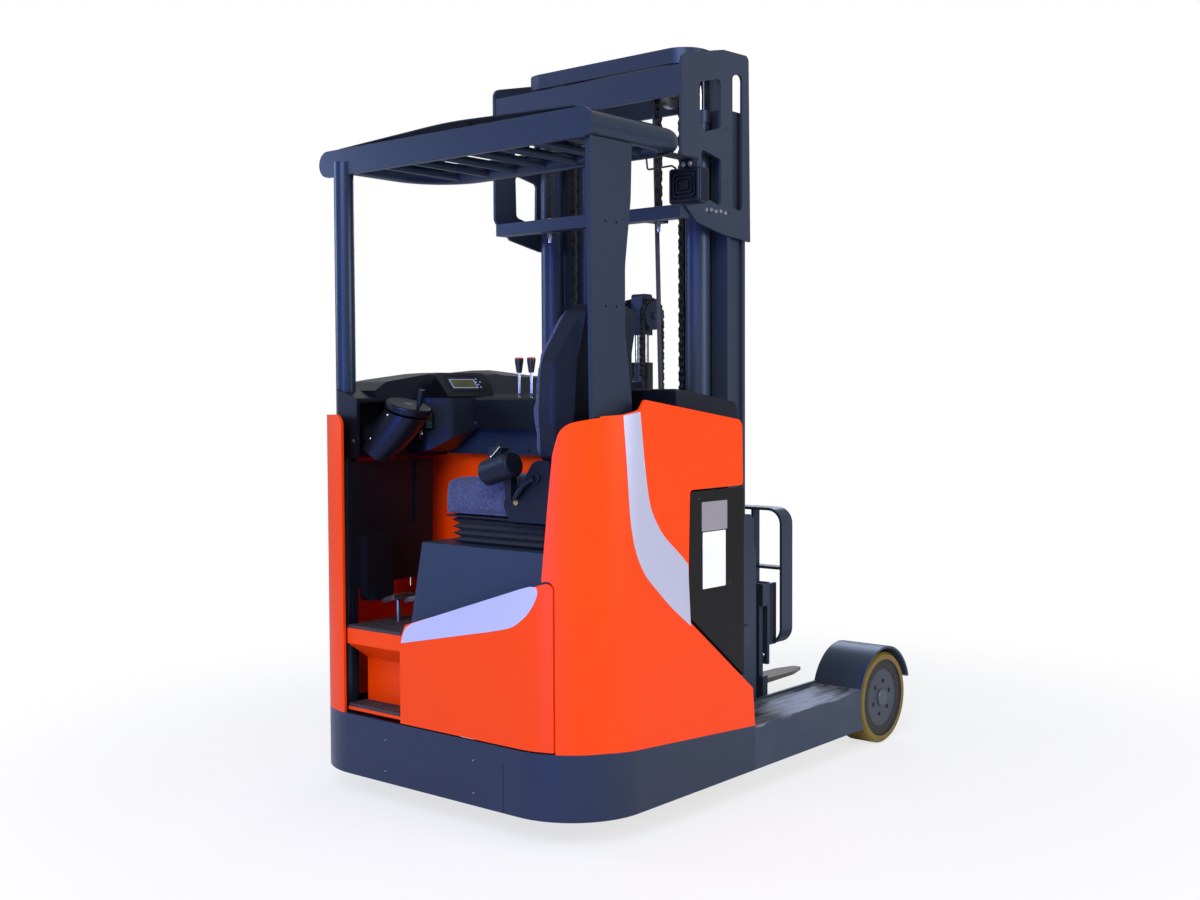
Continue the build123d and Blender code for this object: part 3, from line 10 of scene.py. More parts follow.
import bmesh
import bpy
from mathutils import Matrix, Vector


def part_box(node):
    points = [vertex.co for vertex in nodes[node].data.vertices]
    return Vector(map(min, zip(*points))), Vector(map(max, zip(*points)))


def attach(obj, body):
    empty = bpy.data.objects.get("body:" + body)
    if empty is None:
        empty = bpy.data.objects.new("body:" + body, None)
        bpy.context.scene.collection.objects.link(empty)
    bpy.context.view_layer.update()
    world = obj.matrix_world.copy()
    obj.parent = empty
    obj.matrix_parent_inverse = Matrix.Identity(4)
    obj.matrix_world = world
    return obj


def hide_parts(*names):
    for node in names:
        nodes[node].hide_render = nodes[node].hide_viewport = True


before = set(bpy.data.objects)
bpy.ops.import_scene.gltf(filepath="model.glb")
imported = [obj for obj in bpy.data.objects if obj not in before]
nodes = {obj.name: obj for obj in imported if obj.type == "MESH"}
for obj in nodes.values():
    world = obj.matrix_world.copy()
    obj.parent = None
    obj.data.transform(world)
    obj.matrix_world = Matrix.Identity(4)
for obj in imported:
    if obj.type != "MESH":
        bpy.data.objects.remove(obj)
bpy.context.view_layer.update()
scene = bpy.context.scene

# %% [markdown]
# The drawing of the truck measures forward distances from the rear face of the chassis, while the frame has
# its origin in the middle of the footprint. One small helper turns drawing millimetres into frame metres, so
# that every place below can be read as a real size.

# %% From drawing millimetres to frame metres
rear_face_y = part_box("chassis_frame")[0][1]


def at(x, y, z):
    """A point of the drawing, in millimetres, as a point of the frame, in metres."""
    return Vector((x / 1000, y / 1000 + rear_face_y, z / 1000))


print("rear face at y =", round(rear_face_y, 4))

# %% [markdown]
# The portrait is taken from behind the right rear corner, a little below eye height, with a longish lens.
# The camera is built from a heading, a small downward pitch and a trace of roll. Setting its matrix from three
# axes avoids any doubt about rotation order.

# %% Camera
camera_place = Vector((3.1661, -4.1780, 1.3216))
camera_heading = math.radians(39.89)
camera_pitch = math.radians(2.26)
camera_roll = math.radians(-0.25)
camera_lens_mm = 41.77

forward = Vector((-math.sin(camera_heading) * math.cos(camera_pitch),
                  math.cos(camera_heading) * math.cos(camera_pitch),
                  -math.sin(camera_pitch)))
level_right = Vector((math.cos(camera_heading), math.sin(camera_heading), 0))
level_up = level_right.cross(forward)
right = level_right * math.cos(camera_roll) + level_up * math.sin(camera_roll)
up = right.cross(forward)
camera_data = bpy.data.cameras.new("portrait_camera")
camera_data.lens = camera_lens_mm
camera_data.sensor_width = 36
camera_data.clip_end = 100
camera = bpy.data.objects.new("portrait_camera", camera_data)
camera.matrix_world = Matrix((
    (right.x, up.x, -forward.x, camera_place.x),
    (right.y, up.y, -forward.y, camera_place.y),
    (right.z, up.z, -forward.z, camera_place.z),
    (0, 0, 0, 1)))
scene.collection.objects.link(camera)
scene.camera = camera
print("camera looks along", tuple(round(v, 3) for v in forward))

# %% [markdown]
# Every material, the world and the recipes for bolts and chains are node trees. A few short helpers build
# them: one fills the inputs of a node, one adds a node and fills it in the same call, one starts a node group,
# and the others are the nodes that come back most.

# %% Helpers for node trees


def feed(node, inputs):
    """Fills inputs of a node. A node gives its first output, a socket is joined, and the rest are values."""
    for key, value in inputs.items():
        if isinstance(value, bpy.types.Node):
            value = next(socket for socket in value.outputs if socket.enabled)
        if isinstance(value, bpy.types.NodeSocket):
            node.id_data.links.new(value, node.inputs[key])
        else:
            node.inputs[key].default_value = value


def place(tree, kind, inputs=None, **settings):
    """A new node in tree, with its properties set and its inputs filled."""
    node = tree.nodes.new(kind)
    for key, value in settings.items():
        setattr(node, key, value)
    feed(node, inputs or {})
    return node


def maths(tree, operation, *values, kind="ShaderNodeMath"):
    """A maths node on values or outputs."""
    return place(tree, kind, dict(enumerate(values)), operation=operation)


def ramp(tree, value, low, high, start=0.0, stop=1.0):
    """Takes low to start and high to stop, and everything between them in proportion."""
    return place(tree, "ShaderNodeMapRange", {"Value": value, "From Min": low, "From Max": high,
                                              "To Min": start, "To Max": stop})


def mixed(tree, share, a, b, kind="RGBA"):
    """Mixes a and b by share."""
    return place(tree, "ShaderNodeMix", {"Factor": share, "A": a, "B": b}, data_type=kind)


def object_place(tree):
    """The shaded point in the object's own space."""
    return place(tree, "ShaderNodeTexCoord").outputs["Object"]


def new_group(name, family, inputs, outputs):
    """An empty node group, its given values and its end. An input has a default, or a type as text."""
    group = bpy.data.node_groups.new(name, family)
    kinds = {float: "Float", int: "Int", 3: "Vector", 4: "Color"}
    for label, value in inputs.items():
        has_default = not isinstance(value, str)
        kind = kinds[len(value) if isinstance(value, tuple) else type(value)] if has_default else value
        socket = group.interface.new_socket(label, in_out="INPUT", socket_type="NodeSocket" + kind)
        if has_default:
            socket.default_value = value
    for label, kind in outputs.items():
        group.interface.new_socket(label, in_out="OUTPUT", socket_type="NodeSocket" + kind)
    return group, group.nodes.new("NodeGroupInput").outputs, group.nodes.new("NodeGroupOutput")


print("node helpers ready")

# %% [markdown]
# A studio portrait needs a pale floor, a white surround and large soft lamps. The world is bright only for
# camera and transmission rays, and a little for glossy ones. So the background is white, while the lamps and a
# low ambient light set how light the paint looks.

# %% World and lamps
world_level = 0.3
background_level = 1.0
glossy_level = 0.16
scene.view_settings.view_transform = "Standard"
world = bpy.data.worlds.new("studio")
scene.world = world
world.use_nodes = True
tree = world.node_tree
tree.nodes.clear()
path = place(tree, "ShaderNodeLightPath").outputs
clear_rays = maths(tree, "MAXIMUM", path["Is Camera Ray"], path["Is Transmission Ray"])
glossy_rays = maths(tree, "MULTIPLY", path["Is Glossy Ray"], glossy_level)
ambient = place(tree, "ShaderNodeBackground", {"Color": (0.93, 0.95, 1.0, 1), "Strength": world_level})
seen = place(tree, "ShaderNodeBackground", {"Color": (1, 1, 1, 1), "Strength": background_level})
mix = place(tree, "ShaderNodeMixShader", {"Fac": maths(tree, "MAXIMUM", clear_rays, glossy_rays),
                                          1: ambient, 2: seen})
place(tree, "ShaderNodeOutputWorld", {"Surface": mix})


def area_lamp(name, spot, target, size, watts, colour=(1, 1, 1)):
    """A square soft lamp at spot that faces target."""
    data = bpy.data.lights.new(name, "AREA")
    data.energy = watts
    data.size = size
    data.color = colour
    lamp = bpy.data.objects.new(name, data)
    lamp.location = spot
    lamp.rotation_euler = (Vector(target) - Vector(spot)).to_track_quat("-Z", "Y").to_euler()
    scene.collection.objects.link(lamp)
    return lamp


middle = (0, 0, 1.1)
area_lamp("key_lamp", (2.6, -5.2, 4.4), middle, 3.5, 230)
area_lamp("side_lamp", (5.2, 0.6, 2.4), middle, 2.2, 105)
area_lamp("left_lamp", (-4.8, -3.0, 2.4), middle, 1.6, 80, (0.5, 0.64, 1.0))
area_lamp("back_lamp", (-2.5, 4.8, 3.6), middle, 2.4, 80, (0.7, 0.8, 1.0))
streak = area_lamp("blue_streak_lamp", (0.9, -5.6, 1.7), (0.1, 0, 1.5), 0.35, 125, (0.05, 0.16, 1.0))
streak.data.shape = "RECTANGLE"
streak.data.size_y = 3.4

# %% [markdown]
# The floor is one large pale sheet. Away from the truck it fades, for camera rays only, to the white of the
# background, which hides the horizon, and near the truck it keeps the soft shadow.

# %% Floor
half_floor = 20.0
fade_start, fade_end, near_white = 1.2, 3.0, 0.72
mesh = bpy.data.meshes.new("studio_floor")
mesh.from_pydata([(x * half_floor, y * half_floor, 0) for x, y in ((-1, -1), (1, -1), (1, 1), (-1, 1))], [],
                 [(0, 1, 2, 3)])
floor = bpy.data.objects.new("studio_floor", mesh)
scene.collection.objects.link(floor)
floor_paint = bpy.data.materials.new("studio_floor_paint")
floor_paint.use_nodes = True
mesh.materials.append(floor_paint)
tree = floor_paint.node_tree
floor_shader = tree.nodes["Principled BSDF"]
feed(floor_shader, {"Base Color": (0.88, 0.88, 0.89, 1), "Roughness": 0.9})
distance = maths(tree, "LENGTH", object_place(tree), kind="ShaderNodeVectorMath")
fade = ramp(tree, distance, fade_start, fade_end, near_white)
fade.interpolation_type = "SMOOTHSTEP"
share = maths(tree, "MULTIPLY", fade, place(tree, "ShaderNodeLightPath").outputs["Is Camera Ray"])
glow = place(tree, "ShaderNodeEmission", {"Strength": 1.0})
mix = place(tree, "ShaderNodeMixShader", {"Fac": share, 1: floor_shader, 2: glow})
feed(tree.nodes["Material Output"], {"Surface": mix})
print("floor:", 2 * half_floor, "m square")

# %% [markdown]
# Several finishes share the same effects: a fine grain that breaks the gloss of paint and moulded plastic, and
# a cloudy change of colour. Each is a node group with named inputs, so that one recipe serves many materials
# with other values.

# %% Shared effects as node groups


def grain_group():
    """Fine bumps of powder coat or moulded plastic: Height for a Bump node and a Mask from 0 to 1."""
    group, given, end = new_group("fine_grain", "ShaderNodeTree", {"Scale": 900.0, "Detail": 2.0},
                                  {"Height": "Float", "Mask": "Float"})
    noise = place(group, "ShaderNodeTexNoise", {"Vector": object_place(group), "Scale": given["Scale"],
                                                "Detail": given["Detail"]})
    feed(end, {"Height": noise, "Mask": ramp(group, noise, 0.35, 0.65)})
    return group


def cloud_group():
    """Two colours mixed by a large soft noise."""
    group, given, end = new_group(
        "cloudy_colour", "ShaderNodeTree",
        {"Colour": (0.5, 0.5, 0.5, 1), "Second": (0.4, 0.4, 0.4, 1), "Amount": 0.3, "Scale": 4.0},
        {"Colour": "Color", "Mask": "Float"})
    noise = place(group, "ShaderNodeTexNoise", {"Vector": object_place(group), "Scale": given["Scale"],
                                                "Detail": 4.0})
    share = maths(group, "MULTIPLY", ramp(group, noise, 0.4, 0.7), given["Amount"])
    feed(end, {"Colour": mixed(group, share, given["Colour"], given["Second"]), "Mask": share})
    return group


fine_grain = grain_group()
cloudy_colour = cloud_group()
print("groups:", [g.name for g in bpy.data.node_groups])

# %% [markdown]
# Most finishes here are one shader with a base colour, a little cloudiness, a grain and a roughness. A helper
# builds such a material and returns it, and special finishes add their own nodes to it afterwards.

# %% A helper for finishes


def finish(name, colour, second, amount=0.3, cloud_scale=4.0, rough=0.4, rough_swing=0.08, grain=900.0,
           bump=0.02, metallic=0.0, **sockets):
    """A painted, moulded or bare surface: cloudy colour, grain in roughness and bump, and plain sockets."""
    material = bpy.data.materials.new(name)
    material.use_nodes = True
    tree = material.node_tree
    shader = tree.nodes["Principled BSDF"]
    cloud = place(tree, "ShaderNodeGroup", node_tree=cloudy_colour, name="cloud")
    feed(cloud, {"Colour": (*colour, 1), "Second": (*second, 1), "Amount": amount, "Scale": cloud_scale})
    fine = place(tree, "ShaderNodeGroup", node_tree=fine_grain)
    feed(fine, {"Scale": grain})
    spread = ramp(tree, fine.outputs["Mask"], 0.0, 1.0, rough - rough_swing, rough + rough_swing)
    feed(shader, {"Base Color": cloud, "Roughness": spread, "Metallic": metallic})
    if bump > 0:
        feed(shader, {"Normal": place(tree, "ShaderNodeBump", {"Height": fine, "Strength": 1.0,
                                                               "Distance": bump / 1000})})
    feed(shader, {label.replace("_", " ").title().replace("Ior", "IOR"): v for label, v in sockets.items()})
    return material


def dress(material, names):
    """Gives a finish to nodes of the frame."""
    for name in names:
        nodes[name].data.materials.clear()
        nodes[name].data.materials.append(material)


# %% [markdown]
# The colours follow the real truck. The body is a warm orange gloss paint. The chassis, the legs and the mast
# are a dark blue-grey powder coat, and the dash, the seat shell and the covers are black moulded plastic.

# %% Paints, plastics and metals
blue_sheen = (0.42, 0.55, 1.0, 1)
grey_sheen = (0.5, 0.6, 0.9, 1)
orange_paint = finish("orange_paint", (1.0, 0.062, 0.0), (0.97, 0.05, 0.0), 0.35, 1.6, 0.4, 0.05, 420, 0.012,
                      specular_ior_level=0.22)
blue_grey_paint = finish("blue_grey_paint", (0.017, 0.027, 0.047), (0.013, 0.022, 0.04), 0.5, 3.0, 0.32, 0.08,
                         1500, 0.03, specular_tint=grey_sheen, specular_ior_level=0.55)
mast_paint = finish("mast_paint", (0.028, 0.037, 0.058), (0.022, 0.03, 0.048), 0.5, 3.0, 0.38, 0.08, 1500,
                    0.03, specular_tint=blue_sheen, specular_ior_level=0.6)
roof_paint = finish("roof_paint", (0.012, 0.017, 0.027), (0.009, 0.013, 0.02), 0.5, 3.0, 0.66, 0.06, 1300,
                    0.05, specular_tint=grey_sheen, specular_ior_level=0.25)
leg_paint = finish("leg_paint", (0.027, 0.037, 0.058), (0.07, 0.08, 0.1), 0.3, 9.0, 0.4, 0.12, 1300, 0.04,
                   specular_tint=blue_sheen, specular_ior_level=0.6)
black_paint = finish("black_paint", (0.018, 0.02, 0.024), (0.035, 0.035, 0.036), 0.4, 8.0, 0.42, bump=0.03)
panel_black = finish("panel_black", (0.006, 0.0055, 0.0055), (0.009, 0.0085, 0.0085), 0.3, 5.0, 0.5,
                     bump=0.03, specular_ior_level=0.2)
moulded_black = finish("moulded_black", (0.006, 0.006, 0.007), (0.004, 0.004, 0.005), 0.4, 6.0, 0.36, 0.06,
                       1900, 0.04, specular_tint=blue_sheen, specular_ior_level=0.42)
shell_black = finish("shell_black", (0.006, 0.007, 0.011), (0.005, 0.006, 0.009), 0.4, 6.0, 0.46, 0.08, 1500,
                     0.06, specular_tint=blue_sheen, specular_ior_level=0.4)
hood_plastic = finish("hood_plastic", (0.023, 0.037, 0.06), (0.018, 0.03, 0.05), 0.4, 3.0, 0.42, 0.06, 1700,
                      0.035, specular_tint=blue_sheen, specular_ior_level=0.5)
floor_rubber = finish("floor_rubber", (0.03, 0.028, 0.028), (0.06, 0.055, 0.05), 0.4, 14.0, 0.62, bump=0.1)
bellows_rubber = finish("bellows_rubber", (0.022, 0.024, 0.03), (0.03, 0.032, 0.036), 0.3, 9.0, 0.5,
                        bump=0.05)
hub_paint = finish("hub_paint", (0.06, 0.075, 0.10), (0.045, 0.058, 0.08), 0.4, 12.0, 0.42, bump=0.03)
bare_steel = finish("bare_steel", (0.36, 0.37, 0.39), (0.24, 0.24, 0.25), 0.5, 30.0, 0.34, metallic=1.0)
chain_steel = finish("chain_steel", (0.035, 0.036, 0.04), (0.12, 0.09, 0.055), 0.25, 40.0, 0.34, metallic=0.7)
polished_rod = finish("polished_rod", (0.68, 0.69, 0.72), (0.6, 0.61, 0.65), 0.3, 6.0, 0.12, 0.03, bump=0.0,
                      metallic=1.0)
zinc_bolt = finish("zinc_bolt", (0.62, 0.63, 0.66), (0.45, 0.45, 0.47), 0.3, 60.0, 0.25, bump=0.01,
                   metallic=1.0)
machine_grey = finish("machine_grey", (0.09, 0.095, 0.10), (0.06, 0.06, 0.065), 0.4, 8.0, 0.5, bump=0.04)
silver_film = finish("silver_film", (0.56, 0.57, 0.73), (0.51, 0.52, 0.68), 0.4, 2.5, 0.36, 0.06, 2600, 0.008,
                     0.25)
print("materials:", len(bpy.data.materials))

# %% [markdown]
# The nodes of the frame get their finishes here, read as "this finish goes on these nodes". The wheels, the
# forks and the levers get finishes of their own further down.

# %% Finishes on the frame's nodes
dress(orange_paint, ["side_shell_left", "side_shell_right", "service_door", "cab_floor", "bulkhead"])
dress(blue_grey_paint, ["chassis_frame", "guard_frame", "plate_post", "cross_beam"])
dress(roof_paint, ["roof_sheet"])
dress(mast_paint, ["mast_outer", "mast_side_plates", "mast_middle", "mast_inner", "fork_carriage",
                   "fork_frame", "load_backrest", "lift_cylinders", "free_lift_head"])
dress(leg_paint, ["leg_left", "leg_right"])
dress(black_paint, ["free_lift_cylinder", "reach_barrel", "drive_unit"])
dress(panel_black, ["battery_side_covers"])
dress(moulded_black, ["console", "battery_lid", "knee_cover", "steering_head", "hand_wheel", "work_light",
                      "display_panel"])
dress(shell_black, ["seat_back", "seat_brackets"])
dress(hood_plastic, ["seat_hood"])
dress(bellows_rubber, ["seat_bellows", "mast_hose", "lamp_lead"])
dress(floor_rubber, ["step_treads"])
dress(bare_steel, ["pedals", "chain_pulleys", "reach_rollers"])
dress(chain_steel, ["lift_chains", "free_lift_chains"])
dress(polished_rod, ["lift_rods", "free_lift_rod", "reach_rod"])
dress(machine_grey, ["battery", "drive_motor", "pump_unit"])
print("nodes dressed")

# %% [markdown]
# The wheels have three zones when seen from the side: a glossy ochre tread, a black ring, and a painted disc in
# the middle. The zones are rings round the axle, so the material measures the distance from the axle in
# object space and mixes three colours. The same distance makes the tread glossier than the rest.

# %% A wheel finish with rings round its axle
ochre = (0.19, 0.125, 0.012)
ring_black = (0.018, 0.018, 0.02, 1)


def ring_finish(name, wheel, ring_radius, disc_radius, disc):
    """A wheel's finish: ochre tread, a black ring inside ring_radius, and a disc inside disc_radius."""
    material = finish(name, ochre, tuple(c * 0.7 for c in ochre), 0.5, 9.0, 0.26, grain=500,
                      specular_ior_level=0.3, specular_tint=(1.0, 0.85, 0.6, 1))
    tree = material.node_tree
    low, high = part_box(wheel)
    axle = (Vector(low) + Vector(high)) / 2
    vector = "ShaderNodeVectorMath"
    from_axle = maths(tree, "SUBTRACT", object_place(tree), axle, kind=vector)
    radius = maths(tree, "LENGTH", maths(tree, "MULTIPLY", from_axle, (0, 1, 1), kind=vector), kind=vector)
    in_ring = maths(tree, "LESS_THAN", radius, ring_radius)
    colour = mixed(tree, in_ring, tree.nodes["cloud"], ring_black)
    colour = mixed(tree, maths(tree, "LESS_THAN", radius, disc_radius), colour, (*disc, 1))
    feed(tree.nodes["Principled BSDF"], {"Base Color": colour,
                                         "Roughness": ramp(tree, in_ring, 0.0, 1.0, 0.2, 0.45)})
    return material


dress(ring_finish("load_wheel_finish", "load_wheel_right", 0.144, 0.108, (0.05, 0.062, 0.085)),
      ["load_wheel_left", "load_wheel_right"])
dress(ring_finish("drive_wheel_finish", "drive_wheel", 0.140, 0.06, (0.09, 0.095, 0.1)), ["drive_wheel"])
print("wheels dressed")

# %% [markdown]
# Reflective film runs down the right flank and along the top of the door. Film follows the panel under it, so
# its outline is drawn as a smooth curve, cut into a grid, and the grid is then laid on the panel by shooting
# each point at it. About half a millimetre of lift keeps it from flickering against the paint.

# %% Laying thin film on a panel


def eased(a, b, slope_a, slope_b, t):
    """A point of the smooth curve that leaves a along slope_a and arrives in b along slope_b."""
    return (a * (2 * t**3 - 3 * t**2 + 1) + slope_a * (t**3 - 2 * t**2 + t) +
            b * (3 * t**2 - 2 * t**3) + slope_b * (t**3 - t**2))


def smooth_outline(points, steps=6):
    """A closed loop through points in 2-D. A point written with a third value of 1 stays a sharp corner."""
    loop = []
    count = len(points)
    for i, p in enumerate(points):
        q = points[(i + 1) % count]
        a, b = Vector(p[:2]), Vector(q[:2])
        sharp_a, sharp_b = len(p) > 2, len(q) > 2
        if sharp_a and sharp_b:
            loop.append(a)
            continue
        slope_a = b - a if sharp_a else (b - Vector(points[i - 1][:2])) / 2
        slope_b = b - a if sharp_b else (Vector(points[(i + 2) % count][:2]) - a) / 2
        loop += [eased(a, b, slope_a, slope_b, k / steps) for k in range(steps)]
    return loop


def linked(name, mesh):
    """An object with that mesh, in the scene."""
    piece = bpy.data.objects.new(name, mesh)
    scene.collection.objects.link(piece)
    return piece


def mesh_from(name, shape):
    """A mesh from a working mesh, which is then freed."""
    mesh = bpy.data.meshes.new(name)
    shape.to_mesh(mesh)
    shape.free()
    return mesh


def piece_from(name, shape, material, body):
    """A piece from a working mesh, riding on a body."""
    mesh = mesh_from(name, shape)
    mesh.materials.append(material)
    piece = linked(name, mesh)
    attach(piece, body)
    return piece


def film(name, outline, lift_to_3d, panel, along, material, body="chassis", cell=0.02, lift=0.0006):
    """A film with that outline, cut by a grid and laid along a direction. lift_to_3d places (u, v)."""
    shape = bmesh.new()
    shape.faces.new([shape.verts.new(lift_to_3d(u, v)) for u, v in outline])
    low = [min(v.co[k] for v in shape.verts) for k in range(3)]
    high = [max(v.co[k] for v in shape.verts) for k in range(3)]
    for axis in range(3):
        steps = int((high[axis] - low[axis]) / cell)
        if abs(along[axis]) > 0.9 or steps < 1:
            continue
        direction = [float(k == axis) for k in range(3)]
        for i in range(1, steps + 1):
            spot = [0, 0, 0]
            spot[axis] = low[axis] + i * (high[axis] - low[axis]) / (steps + 1)
            everything = shape.verts[:] + shape.edges[:] + shape.faces[:]
            bmesh.ops.bisect_plane(shape, geom=everything, plane_co=spot, plane_no=direction, dist=1e-6)
    bmesh.ops.triangulate(shape, faces=shape.faces[:])
    way = Vector(along)
    for v in shape.verts:
        hit, spot, _, _ = nodes[panel].ray_cast(v.co - way * 0.6, way)
        if hit:
            v.co = spot - way * lift
    for f in shape.faces:
        if f.normal.dot(way) > 0:
            f.normal_flip()
    for f in shape.faces:
        f.smooth = True
    return piece_from(name, shape, material, body)


def on_flank(u, v):
    """A point of the right flank: u is forward and v is up, in drawing millimetres."""
    return at(635, u, v)


def on_rear(u, v):
    """A point of the rear: u is to the right and v is up, in drawing millimetres."""
    return at(u, 0, v)


stripe_outline = smooth_outline([
    (193, 1262, 1), (204, 1134), (215, 991), (224, 924), (243, 857), (282, 792), (341, 737), (421, 671),
    (514, 606, 1), (500, 800, 1), (455, 837), (382, 893), (342, 939), (312, 990), (295, 1058), (283, 1131),
    (274, 1197), (264, 1272, 1)])
film("flank_stripe", stripe_outline, on_flank, "side_shell_right", (-1, 0, 0), silver_film)
door_band = smooth_outline([
    (-122, 541, 1), (-114, 566), (-98, 592), (-70, 609, 1), (395, 757, 1), (440, 768), (454, 757), (451, 735),
    (434, 702), (405, 670), (356, 640), (272, 619, 1)])
film("door_band", door_band, on_rear, "service_door", (0, 1, 0), silver_film, "door")
print("film laid: flank stripe and door band")

# %% [markdown]
# Two blank plates are fixed on the black battery panel: a silver one and a white one below it. Like every plate
# on this truck they carry no words. Each is a thin rounded sheet with a bevelled edge.

# %% Blank plates
plate_silver = finish("plate_silver", (0.43, 0.4, 0.45), (0.37, 0.36, 0.4), 0.3, 12.0, 0.34, grain=2600,
                      bump=0.01, metallic=0.5)
plate_white = finish("plate_white", (0.97, 0.97, 0.98), (0.93, 0.93, 0.95), 0.3, 8.0, bump=0.008)


def rounded_loop(width, height, radius, steps=5):
    """Corners of a rounded rectangle round the middle, as (u, v) pairs."""
    loop = []
    for k, (su, sv) in enumerate(((1, 1), (-1, 1), (-1, -1), (1, -1))):
        for i in range(steps + 1):
            angle = math.pi / 2 * (k + i / steps)
            loop.append((su * (width / 2 - radius) + radius * math.cos(angle),
                         sv * (height / 2 - radius) + radius * math.sin(angle)))
    return loop


def slab(name, sides, origin, across, upward, thickness, material, bevel=0.0, body="chassis"):
    """A rounded plate at origin with sides (width, height, radius), thick towards across x upward."""
    across = Vector(across).normalized()
    upward = Vector(upward).normalized()
    outward = across.cross(upward)
    shape = bmesh.new()
    base = [shape.verts.new(origin + across * u / 1000 + upward * v / 1000) for u, v in rounded_loop(*sides)]
    raised = bmesh.ops.extrude_face_region(shape, geom=[shape.faces.new(base)])
    for item in raised["geom"]:
        if isinstance(item, bmesh.types.BMVert):
            item.co += outward * thickness / 1000
    bmesh.ops.recalc_face_normals(shape, faces=shape.faces[:])
    if bevel:
        front = [e for e in shape.edges
                 if all((v.co - origin).dot(outward) > thickness / 1000 * 0.9 for v in e.verts)]
        bmesh.ops.bevel(shape, geom=front, offset=bevel / 1000, segments=2, affect="EDGES")
    return piece_from(name, shape, material, body)


panel_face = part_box("battery_side_covers")[1][0]
for label, y_mid, z_mid, wide, high, material in (
        ("plate_upper", 645, 940, 138, 92, plate_silver), ("plate_lower", 643, 802, 124, 178, plate_white)):
    plate_middle = at(0, y_mid, z_mid)
    plate_middle.x = panel_face
    slab(label, (wide, high, 3), plate_middle, (0, 1, 0), (0, 0, 1), 1.2, material, 0.4)
print("plates on x =", round(panel_face, 4))

# %% [markdown]
# The cushion and the back pad are foam under stretched cloth. Each starts as a copy of its solid, is rebuilt as
# an even skin of small faces, is drawn in a little, and is then blown up by the cloth solver, so that its sides
# belly out between the edges. Points that rest on the pan or on the shell stay put, and no point may move
# further than nine millimetres.

# %% Soft copies of the two pads
even_cell = 0.006
puff_cap = 0.009


def evaluated_mesh(piece):
    """The mesh of an object with its modifiers applied."""
    return bpy.data.meshes.new_from_object(piece.evaluated_get(bpy.context.evaluated_depsgraph_get()))


def soft_copy(name, node, shrink):
    """An even quad skin in the shape of a node, drawn in by shrink metres."""
    shape = bmesh.new()
    shape.from_mesh(nodes[node].data)
    bmesh.ops.remove_doubles(shape, verts=shape.verts, dist=1e-5)
    rough = linked(name + "_rough", mesh_from(name, shape))
    even = rough.modifiers.new("even", "REMESH")
    even.mode = "VOXEL"
    even.voxel_size = even_cell
    even_mesh = evaluated_mesh(rough)
    rough_mesh = rough.data
    bpy.data.objects.remove(rough)
    bpy.data.meshes.remove(rough_mesh)
    shape = bmesh.new()
    shape.from_mesh(even_mesh)
    shape.normal_update()
    for _ in range(4):
        bmesh.ops.smooth_vert(shape, verts=shape.verts, factor=0.5, use_axis_x=True, use_axis_y=True,
                              use_axis_z=True)
    shape.normal_update()
    for v in shape.verts:
        v.co -= v.normal * shrink
    shape.to_mesh(even_mesh)
    shape.free()
    return linked(name, even_mesh)


def puff(piece, held, pressure=4.0, frames=20):
    """Blows the piece up with the cloth solver. Points for which held(place) is true stay where they are."""
    mesh = piece.data
    group = piece.vertex_groups.new(name="held")
    group.add([v.index for v in mesh.vertices if held(v.co)], 1.0, "REPLACE")
    cloth = piece.modifiers.new("cloth", "CLOTH")
    for key, value in (("quality", 5), ("mass", 0.3), ("use_pressure", True),
                       ("uniform_pressure_force", pressure), ("vertex_group_mass", "held")):
        setattr(cloth.settings, key, value)
    cloth.settings.effector_weights.gravity = 0
    for frame_number in range(1, frames + 1):
        scene.frame_set(frame_number)
    blown = piece.evaluated_get(bpy.context.evaluated_depsgraph_get())
    shifts = [b.co - v.co for b, v in zip(blown.data.vertices, mesh.vertices)]
    piece.modifiers.remove(cloth)
    for v, shift in zip(mesh.vertices, shifts):
        v.co += shift.normalized() * puff_cap if shift.length > puff_cap else shift
    scene.frame_set(1)
    print(piece.name, "largest move", round(max(s.length for s in shifts) * 1000, 1), "mm before the cap")


cushion_low, cushion_high = (Vector(c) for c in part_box("seat_cushion"))
pad_low = Vector(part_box("seat_back_pad")[0])
shell_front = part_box("seat_back")[0][0]
cushion = soft_copy("cloth_cushion", "seat_cushion", 0.004)
puff(cushion, lambda p: p.z < cushion_low.z + 0.012)
back_pad = soft_copy("cloth_back_pad", "seat_back_pad", 0.003)
puff(back_pad, lambda p: p.x > shell_front + 0.002)
print("skins:", len(cushion.data.vertices), "and", len(back_pad.data.vertices), "points")

# %% [markdown]
# Sewing comes after the solver. The cushion has one seam round its foot and a shallow channel across its top,
# and the back pad has a seam parallel to its edge. A seam is a groove a few millimetres wide that is pressed
# into the skin, where each point moves inwards by an amount that falls off with its distance from the seam.

# %% Seams, channels and the last smoothing


def press(piece, depth_at):
    """Moves every point of the piece inwards by depth_at(place), in metres."""
    shape = bmesh.new()
    shape.from_mesh(piece.data)
    shape.normal_update()
    for v in shape.verts:
        depth = depth_at(v.co)
        if depth > 0:
            v.co -= v.normal * depth
    shape.to_mesh(piece.data)
    shape.free()


def groove(distance, width, depth):
    """Depth of a rounded groove at a distance from its middle line."""
    share = abs(distance) / width
    return depth * (0.5 + 0.5 * math.cos(math.pi * share)) if share < 1 else 0.0


def cushion_seams(p):
    foot = groove(p.z - (cushion_low.z + 0.014), 0.009, 0.003)
    across = groove(p.x - (cushion_low.x + 0.285), 0.014, 0.004) if p.z > cushion_high.z - 0.03 else 0.0
    return max(foot, across)


def back_seams(p):
    rim = groove(p.x - (shell_front - 0.004), 0.008, 0.003)
    middle = groove(p.z - (pad_low.z + 0.17), 0.014, 0.004) if p.x < shell_front - 0.012 else 0.0
    return max(rim, middle)


